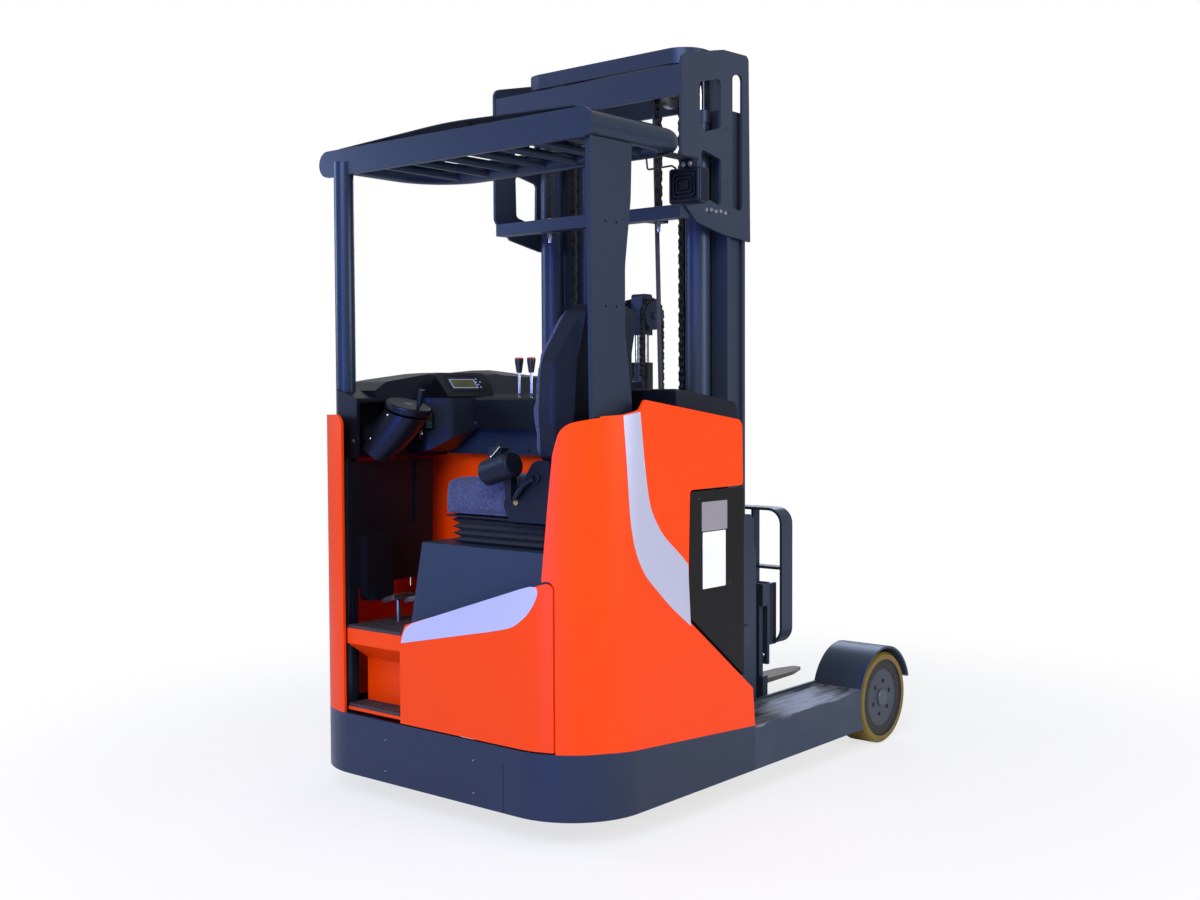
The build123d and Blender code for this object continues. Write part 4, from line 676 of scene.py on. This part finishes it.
def soften(piece, node):
    """One level of subdivision, smooth shading, and the piece takes the place of its solid."""
    smooth = piece.modifiers.new("smooth", "SUBSURF")
    smooth.levels = 1
    smooth.render_levels = 1
    final = evaluated_mesh(piece)
    piece.modifiers.clear()
    piece.data = final
    final.materials.clear()
    final.materials.append(seat_cloth)
    for face in final.polygons:
        face.use_smooth = True
    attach(piece, "chassis")
    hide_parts(node)


def speckled_cloth():
    """Blue-grey cloth: two yarn colours in a fine speckle, a woven bump and a soft sheen."""
    material = finish("seat_cloth", (0.022, 0.027, 0.043), (0.016, 0.02, 0.033), 0.3, 9.0, 0.9, bump=0.0)
    tree = material.node_tree
    where = object_place(tree)
    fleck = place(tree, "ShaderNodeTexNoise", {"Vector": where, "Scale": 500.0, "Detail": 3.0})
    yarn = mixed(tree, ramp(tree, fleck, 0.5, 0.62), tree.nodes["cloud"], (0.12, 0.15, 0.34, 1))
    weave = place(tree, "ShaderNodeTexVoronoi", {"Vector": where, "Scale": 620.0})
    relief = place(tree, "ShaderNodeBump", {"Height": weave, "Distance": 0.0005})
    feed(tree.nodes["Principled BSDF"],
         {"Base Color": yarn, "Normal": relief, "Sheen Weight": 0.22, "Sheen Roughness": 0.4,
          "Sheen Tint": (0.45, 0.55, 0.9, 1)})
    return material


seat_cloth = speckled_cloth()
press(cushion, cushion_seams)
press(back_pad, back_seams)
soften(cushion, "seat_cushion")
soften(back_pad, "seat_back_pad")
print("pads:", [len(p.data.polygons) for p in (cushion, back_pad)], "faces")

# %% [markdown]
# Nearly every screw and bolt is made by one geometry recipe. It puts a head on each point of a small cloud,
# turned to the direction that is stored with the point. The head is a short cone with a chosen number of sides,
# on an optional washer, so one recipe gives hexagon bolts, round-headed screws and rivets.

# %% A recipe for bolts and screws
black_screw = finish("black_screw", (0.012, 0.012, 0.014), (0.03, 0.03, 0.03), 0.4, 90.0, 0.3, bump=0.01)
brass = finish("brass", (0.72, 0.55, 0.3), (0.6, 0.44, 0.22), 0.4, 80.0, 0.3, bump=0.01, metallic=1.0)


def dressed_end(tree, instances, given, end):
    """Ends a recipe: the instances become real geometry with the given material."""
    real = place(tree, "GeometryNodeRealizeInstances", {"Geometry": instances})
    feed(end, {"Geometry": place(tree, "GeometryNodeSetMaterial", {"Geometry": real,
                                                                   "Material": given["Material"]})})


def bolt_recipe():
    tree, given, end = new_group(
        "bolt_heads", "GeometryNodeTree",
        {"Geometry": "Geometry", "Head Radius": 0.006, "Head Height": 0.004, "Sides": 6, "Taper": 0.92,
         "Washer Radius": 0.008, "Material": "Material"}, {"Geometry": "Geometry"})
    head = place(tree, "GeometryNodeMeshCone", {
        "Vertices": given["Sides"], "Radius Bottom": given["Head Radius"], "Depth": given["Head Height"],
        "Radius Top": maths(tree, "MULTIPLY", given["Head Radius"], given["Taper"])})
    washer = place(tree, "GeometryNodeMeshCone", {
        "Vertices": 20, "Depth": 0.0012, "Radius Bottom": given["Washer Radius"],
        "Radius Top": given["Washer Radius"]})
    both = place(tree, "GeometryNodeJoinGeometry", {"Geometry": head})
    feed(both, {"Geometry": washer})
    facing = place(tree, "GeometryNodeInputNamedAttribute", {"Name": "facing"}, data_type="FLOAT_VECTOR")
    turn = place(tree, "FunctionNodeAlignRotationToVector", {"Vector": facing}, axis="Z")
    spread = place(tree, "GeometryNodeInstanceOnPoints", {"Points": given["Geometry"], "Instance": both,
                                                          "Rotation": turn})
    dressed_end(tree, spread, given, end)
    return tree


def grown(name, mesh, tree, values, body):
    """The plain mesh that a geometry tree grows from a mesh, with named values, riding on a body."""
    seed_object = linked(name + "_seed", mesh)
    grower = seed_object.modifiers.new("grow", "NODES")
    grower.node_group = tree
    for socket in tree.interface.items_tree:
        if socket.in_out == "INPUT" and socket.name in values:
            grower[socket.identifier] = values[socket.name]
    result = evaluated_mesh(seed_object)
    result.name = name
    bpy.data.objects.remove(seed_object)
    piece = linked(name, result)
    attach(piece, body)
    return piece


bolt_heads = bolt_recipe()
small_hexagon = (0.006, 0.004, 6, 0.94, 0.0085)
row_hexagon = (0.005, 0.004, 6, 0.92, 0.0065)
panel_head = (0.0045, 0.002, 14, 0.6, 0.0)
dash_head = (0.0075, 0.004, 16, 0.62, 0.0)


def bolts(name, places, facing, head, material=zinc_bolt, body="chassis"):
    """Heads at drawing places, facing one way. head is radius, height, sides, taper and washer radius."""
    mesh = bpy.data.meshes.new(name + "_points")
    mesh.from_pydata([at(*p) for p in places], [], [])
    for item in mesh.attributes.new("facing", "FLOAT_VECTOR", "POINT").data:
        item.vector = facing
    labels = ("Head Radius", "Head Height", "Sides", "Taper", "Washer Radius")
    return grown(name, mesh, bolt_heads, dict(zip(labels, head)) | {"Material": material}, body)


skirt_spots = [(-199, 220), (-199, 120), (199, 221), (199, 121)]
bolts("skirt_screws", [(x, 0, z) for x, z in skirt_spots], (0, -1, 0), (0.0062, 0.003, 14, 0.6, 0.0),
      black_screw)
bolts("skirt_rivets", [(x, -2.4, z) for x, z in skirt_spots], (0, -1, 0), (0.0022, 0.001, 10, 0.8, 0.0))
bolts("battery_panel_screws", [(632, y, z) for y, z in ((729, 720), (808, 720), (560, 1000), (812, 1000))],
      (1, 0, 0), panel_head, black_screw)
for mark, side in (("", 1), ("_left", -1)):
    bolts("mast_row_screws" + mark, [(side * 430, 886 + i * 28, 1941 + (i % 2) * 3) for i in range(5)],
          (side, 0, 0), row_hexagon, body="reach_carriage")
for mark, side in (("", 1), ("_left", -1)):
    bolts("head_plate_bolts" + mark,
          [(side * 430, y, z) for y, z in ((1001, 2231), (1004, 2052), (1019, 1943), (903, 1932))],
          (side, 0, 0), (0.006, 0.003, 14, 0.7, 0.0), black_screw, "reach_carriage")
bolts("backrest_strap_bolts", [(x, 1300, z) for x in (-382, 382) for z in (372, 608)], (0, -1, 0),
      (0.009, 0.006, 6, 0.94, 0.012), body="fork_unit")
bolts("dash_screws", [(-413, 60, 1173), (-213, 430, 1228)], (0, -1, 0), dash_head, black_screw)
bolts("beam_screws", [(1, 470, 1141), (300, 470, 1141)], (0, -1, 0), dash_head, black_screw)

# %% [markdown]
# A leaf chain is a stack of link plates on pins. Two link templates take turns along the chain's path, a wide
# one with outer plates and a narrow one between them, and a second recipe sets them out. The path runs up the
# rear of the pulley, over it and down the front, and is stepped by the real pitch.

# %% A recipe for leaf chains


def link_template(name, pitch, tall, plates, pin_width):
    """Link plates with a waisted outline, spanning one pitch, and the pin at their upper end."""
    half = pitch / 2
    corners = [(tall, half), (0.55 * tall, half + 0.8 * tall)]
    side = corners + [(-u, v) for u, v in corners[::-1]] + [(-(tall - 0.0024), 0)]
    side += [(-u, -v) for u, v in side]
    shape = bmesh.new()
    for x0, x1 in plates:
        front = [shape.verts.new((x1, u, v)) for u, v in side]
        back = [shape.verts.new((x0, u, v)) for u, v in side]
        shape.faces.new(front)
        shape.faces.new(back[::-1])
        for i in range(len(side)):
            j = (i + 1) % len(side)
            shape.faces.new((front[j], front[i], back[i], back[j]))
    turn = Matrix.Translation((0, 0, half)) @ Matrix.Rotation(math.pi / 2, 4, "Y")
    bmesh.ops.create_cone(shape, cap_ends=True, segments=6, radius1=0.42 * tall, radius2=0.42 * tall,
                          depth=pin_width, matrix=turn)
    bmesh.ops.recalc_face_normals(shape, faces=shape.faces[:])
    return linked(name, mesh_from(name, shape))


def chain_recipe():
    tree, given, end = new_group(
        "leaf_chain", "GeometryNodeTree",
        {"Geometry": "Geometry", "Wide Link": "Object", "Narrow Link": "Object", "Pitch": 0.0254,
         "Material": "Material"}, {"Geometry": "Geometry"})
    line = place(tree, "GeometryNodeMeshToCurve", {"Mesh": given["Geometry"]})
    steps = place(tree, "GeometryNodeCurveToPoints", {"Curve": line, "Length": given["Pitch"]}, mode="LENGTH")
    turn = place(tree, "FunctionNodeAlignRotationToVector", {"Vector": steps.outputs["Tangent"]}, axis="Z",
                 pivot_axis="X")
    parity = maths(tree, "MODULO", place(tree, "GeometryNodeInputIndex"), 2.0)
    both = place(tree, "GeometryNodeJoinGeometry")
    for label, wanted in (("Wide Link", 0.0), ("Narrow Link", 1.0)):
        source = place(tree, "GeometryNodeObjectInfo", {"Object": given[label]})
        chosen = place(tree, "FunctionNodeCompare", {"A": parity, "B": wanted}, data_type="FLOAT",
                       operation="EQUAL")
        feed(both, {"Geometry": place(tree, "GeometryNodeInstanceOnPoints", {
            "Points": steps, "Selection": chosen, "Instance": source.outputs["Geometry"], "Rotation": turn})})
    dressed_end(tree, both, given, end)
    return tree


leaf_chain = chain_recipe()
arc_steps = 24


def chains(name, x_places, y_mid, z_top, radius, rear_end, front_end, pitch, tall, plates, body, node):
    """Chains over pulleys at the x places, in drawing millimetres, which stand for a node of the frame."""
    points = []
    edges = []
    for x in x_places:
        first = len(points)
        points += [at(x, y_mid - radius, rear_end), at(x, y_mid - radius, z_top)]
        for i in range(1, arc_steps):
            angle = math.pi * i / arc_steps
            points.append(at(x, y_mid - radius * math.cos(angle), z_top + radius * math.sin(angle)))
        points += [at(x, y_mid + radius, z_top), at(x, y_mid + radius, front_end)]
        edges += [(i, i + 1) for i in range(first, len(points) - 1)]
    mesh = bpy.data.meshes.new(name + "_path")
    mesh.from_pydata(points, edges, [])
    outer, inner, pin = plates
    wide = link_template(name + "_wide", pitch, tall, outer, pin)
    narrow = link_template(name + "_narrow", pitch, tall, inner, pin * 0.98)
    piece = grown(name, mesh, leaf_chain,
                  {"Wide Link": wide, "Narrow Link": narrow, "Pitch": pitch, "Material": chain_steel}, body)
    for template in (wide, narrow):
        bpy.data.objects.remove(template)
    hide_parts(node)
    return piece


lift_plates = (((0.009, 0.012), (0.003, 0.0058), (-0.0058, -0.003), (-0.012, -0.009)),
               ((0.006, 0.0088), (-0.0028, 0.0028), (-0.0088, -0.006)), 0.0246)
free_plates = (((0.0066, 0.009), (0.002, 0.0042), (-0.0042, -0.002), (-0.009, -0.0066)),
               ((0.0044, 0.0064), (-0.0018, 0.0018), (-0.0064, -0.0044)), 0.0186)
lift_chain = chains("lift_chain_links", (-250, 250), 925, 2365, 67, 1966, 336, 0.0254, 0.0078, lift_plates,
                    "middle_stage", "lift_chains")
free_chain = chains("free_lift_chain_links", (-46, 46), 1082, 1610, 58.2, 1404, 646, 0.01905, 0.0058,
                    free_plates, "free_lift_head", "free_lift_chains")
print("chain faces:", len(lift_chain.data.polygons), len(free_chain.data.polygons))

# %% [markdown]
# The remaining details are small turned, bent or flat pieces. Three functions make them: a turned shape from a
# profile, a round bar along a path, and a thin dark line laid on a panel for seams and shut lines, and as
# painted shade along a crease. One more finds where a line meets a node, for screws on a face that slopes.

# %% Helpers for small pieces
gloss_black = finish("gloss_black", (0.004, 0.004, 0.005), (0.006, 0.006, 0.007), 0.3, 20.0, 0.16, 0.03,
                     bump=0.0)
# Near-black for real shut lines and seams, and also painted shade where slots, holes, a crease and a recess are
# drawn as flat dark sheets.
seam_and_shade_black = finish("seam_and_shade_black", (0.002, 0.002, 0.002), (0.004, 0.004, 0.004), 0.3, 20.0, 0.8, bump=0.0)
chrome = finish("chrome", (0.8, 0.81, 0.84), (0.7, 0.71, 0.75), 0.3, 40.0, 0.12, 0.03, bump=0.0, metallic=1.0)
cap_orange = finish("cap_orange", (0.95, 0.14, 0.01), (0.85, 0.1, 0.008), 0.3, 20.0, bump=0.01)
display_green = finish("display_green", (0.085, 0.08, 0.028), (0.07, 0.066, 0.022), 0.4, 30.0, 0.15, 0.02,
                       bump=0.0)
pale_blue = finish("pale_blue", (0.36, 0.42, 0.62), (0.3, 0.35, 0.52), 0.3, 40.0, bump=0.0)
lens_clear = finish("lens_clear", (0.72, 0.76, 0.8), (0.6, 0.65, 0.7), 0.4, 30.0, 0.08, 0.02, bump=0.0,
                    coat_weight=1.0, coat_roughness=0.03)


def shown(name, shape, material, body):
    """A piece from a working mesh, with smooth faces between sharp edges, riding on a body."""
    bmesh.ops.recalc_face_normals(shape, faces=shape.faces[:])
    for face in shape.faces:
        face.smooth = True
    piece = piece_from(name, shape, material, body)
    piece.data.set_sharp_from_angle(angle=math.radians(32))
    return piece


def circle(shape, middle, side, other, radius, count):
    """Points of a circle round middle, with a radius in millimetres."""
    return [shape.verts.new(middle + (side * math.cos(math.tau * i / count) +
                                      other * math.sin(math.tau * i / count)) * radius / 1000)
            for i in range(count)]


def bridged(shape, rings):
    """Joins rings of points in order. A ring of one point closes the shape to a tip."""
    for low, high in zip(rings, rings[1:]):
        count = max(len(low), len(high))
        for i in range(count):
            j = (i + 1) % count
            corners = [low[i % len(low)], low[j % len(low)], high[j % len(high)], high[i % len(high)]]
            shape.faces.new(list(dict.fromkeys(corners)))


def turned(name, profile, base, axis, material, steps=28, body="chassis"):
    """A turned piece: profile holds (radius, height) in millimetres, from base along axis."""
    way = Vector(axis).normalized()
    side = way.orthogonal().normalized()
    other = way.cross(side)
    shape = bmesh.new()
    bridged(shape, [circle(shape, base + way * height / 1000, side, other, radius, steps if radius else 1)
                    for radius, height in profile])
    return shown(name, shape, material, body)


def bar(name, path, radii, material, sides=14, steps=8):
    """A round bar along a smooth path of drawing places, with a radius in millimetres at each."""
    places = [at(*p) for p in path]
    shape = bmesh.new()
    samples = []
    for i, (a, b) in enumerate(zip(places, places[1:])):
        slope_a = (b - places[i - 1]) / 2 if i else (b - a)
        slope_b = (places[i + 2] - a) / 2 if i + 2 < len(places) else (b - a)
        samples += [(eased(a, b, slope_a, slope_b, k / steps),
                     radii[i] * (1 - k / steps) + radii[i + 1] * k / steps) for k in range(steps)]
    samples.append((places[-1], radii[-1]))
    side = (samples[1][0] - samples[0][0]).orthogonal().normalized()
    rings = []
    for i, (spot, radius) in enumerate(samples):
        way = (samples[min(i + 1, len(samples) - 1)][0] - samples[max(i - 1, 0)][0]).normalized()
        side = (side - way * side.dot(way)).normalized()
        rings.append(circle(shape, spot, side, way.cross(side), radius, sides))
    first, last = ([shape.verts.new(samples[k][0])] for k in (0, -1))
    bridged(shape, [first] + rings + [last])
    return shown(name, shape, material, "chassis")


def line_on(name, points, width, lift_to_3d, panel, along):
    """A thin dark line of that width, in millimetres, laid on a panel along a polyline of (u, v)."""
    flat = [Vector(p) for p in points]
    left, right_side = [], []
    for i, p in enumerate(flat):
        way = (flat[min(i + 1, len(flat) - 1)] - flat[max(i - 1, 0)]).normalized()
        side = Vector((-way.y, way.x)) * width / 2
        left.append(p + side)
        right_side.append(p - side)
    return film(name, left + right_side[::-1], lift_to_3d, panel, along, seam_and_shade_black, cell=0.015, lift=0.0004)


def touch(node, x, y, z, way):
    """Where a line from a drawing place along a direction meets a node, in drawing millimetres."""
    hit, spot, _, _ = nodes[node].ray_cast(at(x, y, z), Vector(way))
    return (spot.x * 1000, (spot.y - rear_face_y) * 1000, spot.z * 1000) if hit else (x, y, z)


column_spots = [touch("steering_head", x, -100, z, (0, 1, 0))
                for x, z in ((-305.5, 1259.3), (-365.6, 1181.8))]
bolts("column_screws", column_spots, (-0.05, -0.97, 0.25), (0.0042, 0.002, 14, 0.6, 0.0))
print("column screws at", [tuple(round(v, 1) for v in spot) for spot in column_spots])

# %% [markdown]
# The instrument display lies in a sloping facet that is turned towards the driver. It has a dark glass, a small
# screen in a pale frame, and a cross of round keys beside it. No words are on it.

# %% Display and keys
upright = (0, 0, 1)
heading = math.radians(70)
tilt = math.radians(35)
display_across = Vector((math.cos(heading), math.sin(heading), 0))
display_out = Vector((math.sin(heading) * math.sin(tilt), -math.cos(heading) * math.sin(tilt),
                      math.cos(tilt)))
display_up = display_out.cross(display_across)


def on_display(u, v, w=0.0):
    """A place on the display: u across, v up its slope and w above it, in millimetres."""
    return at(-310, 478, 1365) + (display_across * u + display_up * v + display_out * w) / 1000


slab("display_frame", (95, 54, 3), on_display(-7, -3, 0.05), display_across, display_up, 0.7, pale_blue, 0.2)
slab("display_screen", (88, 46, 2), on_display(-7, -3, 0.6), display_across, display_up, 0.5, display_green,
     0.1)
for i, (u, v) in enumerate(((50, 24), (60, 6), (44, 6), (47, -9), (52, -24))):
    turned(f"display_key_{i}", [(3.6, 0), (3.6, 0.8), (2.6, 1.3), (0, 1.4)], on_display(u, v), display_out,
           pale_blue, 16)
for i, (u, v) in enumerate(((-72, 57), (72, 57), (72, -57), (-72, -57))):
    turned(f"display_screw_{i}", [(2.4, 0), (2.4, 0.6), (1.4, 0.9), (0, 0.9)], on_display(u, v), display_out,
           black_screw, 12)
print("display faces", tuple(round(v, 2) for v in display_out))

# %% [markdown]
# Below the display, the bulging pod carries a rocker switch in a rectangular frame and a key. The two lever
# grips have orange caps over bright stems, and the steering disc has a plain round cap in its middle.

# %% Switch, key, levers and steering cap
pod_out = Vector((0.51, -0.86, 0)).normalized()
pod_across = Vector((0.86, 0.51, 0)).normalized()
rocker_green = finish("rocker_green", (0.03, 0.075, 0.085), (0.02, 0.06, 0.07), 0.3, 50.0, 0.3, bump=0.0)
slab("rocker_frame", (34, 66, 6), at(-322.5, 319.5, 1237), pod_across, upright, 6.0, gloss_black, 1.2)
# The well is a thin near-black sheet inside the frame: painted shade of the recess round the rocker key.
slab("rocker_well", (24, 54, 3), at(-322.5, 319.5, 1237) + pod_out * 0.006, pod_across, upright, 0.3,
     seam_and_shade_black)
slab("rocker_key", (21, 24, 3), at(-322.5, 319.5, 1224) + pod_out * 0.006, pod_across, upright, 3.2,
     rocker_green, 0.8)
turned("key_barrel", [(8, 0), (8, 2.5), (6.5, 3.5), (3.2, 3.5), (3.2, 9), (0, 9)], at(-350.6, 308, 1196),
       (0.06, -1, 0), zinc_bolt, 20)
slab("key_blade", (6, 24, 2.4), at(-350.8, 301, 1183), (1, 0, 0), upright, 1.6, brass, 0.3)
for i, x in enumerate((-72, -16)):
    turned(f"lever_cap_{i}", [(13.6, -1), (14.2, 1.2), (12.6, 3.0), (7, 4.0), (0, 4.3)], at(x, 500, 1446),
           upright, cap_orange, 24)
    turned(f"lever_boot_{i}", [(13, 0), (12, 2.5), (9, 4), (7, 8), (5.3, 9), (5.3, 0)], at(x, 500, 1319.5),
           upright, bellows_rubber, 24)
steer_tilt = math.radians(18)
steer_axis = Vector((math.sin(steer_tilt), 0, math.cos(steer_tilt)))
turned("steering_cap", [(17, 0), (16.4, 0.8), (10, 1.4), (0, 1.6)], at(-288, 190, 1283) + steer_axis * 0.013,
       steer_axis, machine_grey, 32, "steering_disc")


def height_below(tree, limit):
    """1 below that height, and 0 above it."""
    split = place(tree, "ShaderNodeSeparateXYZ", {"Vector": object_place(tree)})
    return maths(tree, "LESS_THAN", split.outputs["Z"], limit)


def stem_finish(name, split_z):
    """Black moulded grips above a height, bright stems below it."""
    material = finish(name, (0.012, 0.014, 0.02), (0.009, 0.01, 0.014), 0.3, 30.0, 0.35, bump=0.01)
    tree = material.node_tree
    below = height_below(tree, split_z)
    feed(tree.nodes["Principled BSDF"],
         {"Base Color": mixed(tree, below, tree.nodes["cloud"], (0.75, 0.77, 0.82, 1)),
          "Roughness": ramp(tree, below, 0.0, 1.0, 0.35, 0.15), "Metallic": below})
    return material


dress(stem_finish("lever_finish", 1.398), ["control_levers"])
print("dash details done")

# %% [markdown]
# The seat's hinge cover carries a bent release lever on a round hub, a brass-coloured bolt and two open holes,
# whose dark insides are painted shade. The belt retractor has its belt guide with a bright pin, and the shell
# has three short slots, a crease and a hole, drawn as near-black sheets, a line and a disc of painted shade.

# %% Seat fittings
turned("hinge_hub", [(17, 0), (17, 5), (14.5, 8), (0, 9)], at(386, 82, 1075), (0, -1, 0), shell_black, 32)
bar("hinge_lever", [(388, 73, 1077), (366, 70, 1068), (340, 68, 1047), (318, 69, 1022), (305, 72, 1012)],
    (11, 9.5, 8.5, 9, 6.5), shell_black)
bolts("hinge_bolt", [(303, 82, 1001)], (0, -1, 0), (0.0062, 0.0055, 6, 0.94, 0.009), brass)
# The two holes are flat near-black discs: painted shade inside the open holes. The rims below are real.
bolts("hinge_holes", [(267, 82, 1003), (396, 82, 986)], (0, -1, 0), (0.0058, 0.0004, 20, 1.0, 0.0),
      seam_and_shade_black)
bolts("hinge_hole_rims", [(267, 82.2, 1003), (396, 82.2, 986)], (0, -1, 0), (0.0082, 0.0004, 24, 0.9, 0.0),
      shell_black)
slab("belt_guide", (54, 20, 5), at(262, 44, 1160), (0.75, 0, 0.66), (-0.5, 0.5, 0.6), 6.0, gloss_black, 1.5)
bar("belt_pin", [(243, 38, 1137), (262, 38, 1153), (282, 38, 1171)], (3.2, 3.2, 3.2), chrome, 12, 3)
bar("belt_stub", [(252, 46, 1135), (259, 46, 1146), (266, 46, 1157)], (5, 4, 5), gloss_black, 12, 3)


def on_back(u, v):
    """A place behind the seat's shell: u is forward and v is up, in drawing millimetres."""
    return at(580, u, v)


# The three slots are near-black sheets laid on the shell: painted shade inside open slots.
for i, z in enumerate((1281, 1291.5, 1302)):
    film(f"shell_slot_{i}", [(148, z - 2.2), (238, z - 2.2), (238, z + 2.2), (148, z + 2.2)], on_back,
         "seat_back", (-1, 0, 0), seam_and_shade_black, cell=0.015, lift=0.0003)
# The crease is a thin dark line laid on the shell: painted shade along the fold.
line_on("shell_crease", [(134, 1228), (134, 1300), (138, 1306), (152, 1308), (238, 1308)], 1.6, on_back,
        "seat_back", (-1, 0, 0))
# The hole is a flat near-black disc: painted shade inside the opening.
bolts("shell_hole", [touch("seat_back", 580, 128, 1410, (-1, 0, 0))], (0.77, -0.63, 0),
      (0.0058, 0.0006, 20, 0.9, 0.0), seam_and_shade_black)
print("seat fittings done")

# %% [markdown]
# Small fittings of the body: a shut line in the skirt, rubber pads with ribs on the pedals, the lamp's lens and
# screws, the anchors of the lift chains, and screws and a cap on each wheel disc.

# %% Body, lamp and mast fittings
line_on("skirt_seam", [(321, 84), (321, 160), (321, 232)], 2.6, on_rear, "chassis_frame", (0, 1, 0))
pedal_tilt = math.radians(16)
pedal_out = Vector((-math.sin(pedal_tilt), 0, math.cos(pedal_tilt)))
pedal_across = Vector((math.cos(pedal_tilt), 0, math.sin(pedal_tilt)))
for i, (x, y) in enumerate(((-322, 170), (-262, 215))):
    pad_place = at(x, y, 648) + pedal_out * 0.007
    slab(f"pedal_pad_{i}", (60, 86, 6), pad_place, pedal_across, (0, 1, 0), 3, floor_rubber, 0.8)
    for k in range(5):
        rib_place = pad_place + pedal_out * 0.003 + Vector((0, (k - 2) * 0.015, 0))
        slab(f"pedal_rib_{i}_{k}", (48, 5, 2), rib_place, pedal_across, (0, 1, 0), 1.4, floor_rubber, 0.3)
slab("lamp_lens", (98, 88, 8), at(558, 640, 1976.5), (-1, 0, 0), upright, 3.0, lens_clear, 1.0)
bolts("lamp_screws", [(546, 600, 2044), (572, 600, 2044)], (0, -1, 0), small_hexagon)
wheel_y, wheel_z = 1758, 171
for mark, side in (("left", -1), ("right", 1)):
    x = side * 250
    mast = "reach_carriage"
    slab(f"chain_clevis_{mark}", (28, 40, 5), at(x, 865, 1946), (1, 0, 0), upright, 14.0, zinc_bolt, 1.5,
         mast)
    turned(f"chain_anchor_{mark}", [(6, 0), (6, 50), (0, 50)], at(x, 858, 1878), upright, zinc_bolt, 16, mast)
    slab(f"chain_anchor_seat_{mark}", (52, 88, 8), at(x, 840, 1908), (1, 0, 0), (0, 1, 0), 12.0,
         blue_grey_paint, 1.5, mast)
    bolts(f"chain_anchor_nuts_{mark}", [(x, 858, 1920), (x, 858, 1897)], upright,
          (0.0105, 0.0085, 6, 0.96, 0.0), body=mast)
    wheel, wheel_body, inwards = "load_wheel_" + mark, f"load_wheel_{mark}_body", (-side, 0, 0)
    disc_face = touch(wheel, side * 700, wheel_y + 60, wheel_z, inwards)[0]
    ring = [(disc_face, wheel_y + 62 * math.cos(math.tau * i / 6 + 0.3),
             wheel_z + 62 * math.sin(math.tau * i / 6 + 0.3)) for i in range(6)]
    bolts(f"wheel_screws_{mark}", ring, (side, 0, 0), (0.0065, 0.004, 6, 0.94, 0.009), black_screw,
          wheel_body)
    hub_face = touch(wheel, side * 700, wheel_y, wheel_z, inwards)[0]
    turned(f"wheel_cap_{mark}", [(33, 0), (33, 5), (29, 8), (0, 9)], at(hub_face, wheel_y, wheel_z),
           (side, 0, 0), hub_paint, 32, wheel_body)
print("fittings done")

# %% [markdown]
# Work leaves its marks: the fork blades are bare and brown-grey towards their tips, and the tops of the legs
# are scuffed by pallets. One node group gives such a mask. It rises along a chosen direction, and a noise
# breaks its edge, so that the paint ends in flakes and scratches and not in a line.

# %% Wear on the forks and legs


def wear_group():
    """A mask from 0 to 1 that rises along a direction, broken up by a stretched noise."""
    group, given, end = new_group(
        "worn_towards", "ShaderNodeTree", {"Direction": (0.0, 1.0, 0.0), "From": 0.0, "To": 1.0,
                                           "Breakup": 0.5, "Stretch": (60.0, 14.0, 60.0)}, {"Mask": "Float"})
    where = object_place(group)
    along = maths(group, "DOT_PRODUCT", where, given["Direction"], kind="ShaderNodeVectorMath")
    stretched = maths(group, "MULTIPLY", where, given["Stretch"], kind="ShaderNodeVectorMath")
    noise = place(group, "ShaderNodeTexNoise", {"Vector": stretched, "Scale": 1.0, "Detail": 5.0})
    swing = maths(group, "MULTIPLY", maths(group, "SUBTRACT", noise, 0.5), given["Breakup"])
    total = maths(group, "ADD", ramp(group, along, given["From"], given["To"]), swing)
    feed(end, {"Mask": ramp(group, total, 0.44, 0.58)})
    return group


worn_towards = wear_group()


def add_wear(material, colour, direction, start, stop, breakup, stretch, metallic=0.6, rough=0.4,
             ceiling=None):
    """Mixes bare, worn metal into a finish where the mask says so, and only below a ceiling if one is given."""
    tree = material.node_tree
    shader = tree.nodes["Principled BSDF"]
    share = place(tree, "ShaderNodeGroup", {"Direction": direction, "From": start, "To": stop,
                                            "Breakup": breakup, "Stretch": stretch}, node_tree=worn_towards)
    if ceiling is not None:
        share = maths(tree, "MULTIPLY", height_below(tree, ceiling), share)
    before, gloss_before = (shader.inputs[k].links[0].from_socket for k in ("Base Color", "Roughness"))
    feed(shader, {"Base Color": mixed(tree, share, before, (*colour, 1)),
                  "Metallic": maths(tree, "MULTIPLY", share, metallic),
                  "Roughness": mixed(tree, share, gloss_before, rough, "FLOAT")})


fork_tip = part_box("fork_right")[1][1]
fork_finish = finish("fork_finish", (0.02, 0.022, 0.026), (0.045, 0.04, 0.036), 0.5, 9.0, 0.42, bump=0.03)
add_wear(fork_finish, (0.13, 0.105, 0.085), (0, 1, 0), fork_tip - 0.75, fork_tip - 0.05, 0.9, (70, 9, 70))
dress(fork_finish, ["fork_left", "fork_right"])
leg_top_z = at(0, 0, 228).z
add_wear(leg_paint, (0.2, 0.2, 0.215), (0, 0, 1), leg_top_z - 0.023, leg_top_z + 0.017, 1.3, (45, 7, 45), 0.2,
         0.42, ceiling=leg_top_z + 0.004)
print("node groups:", [g.name for g in bpy.data.node_groups])
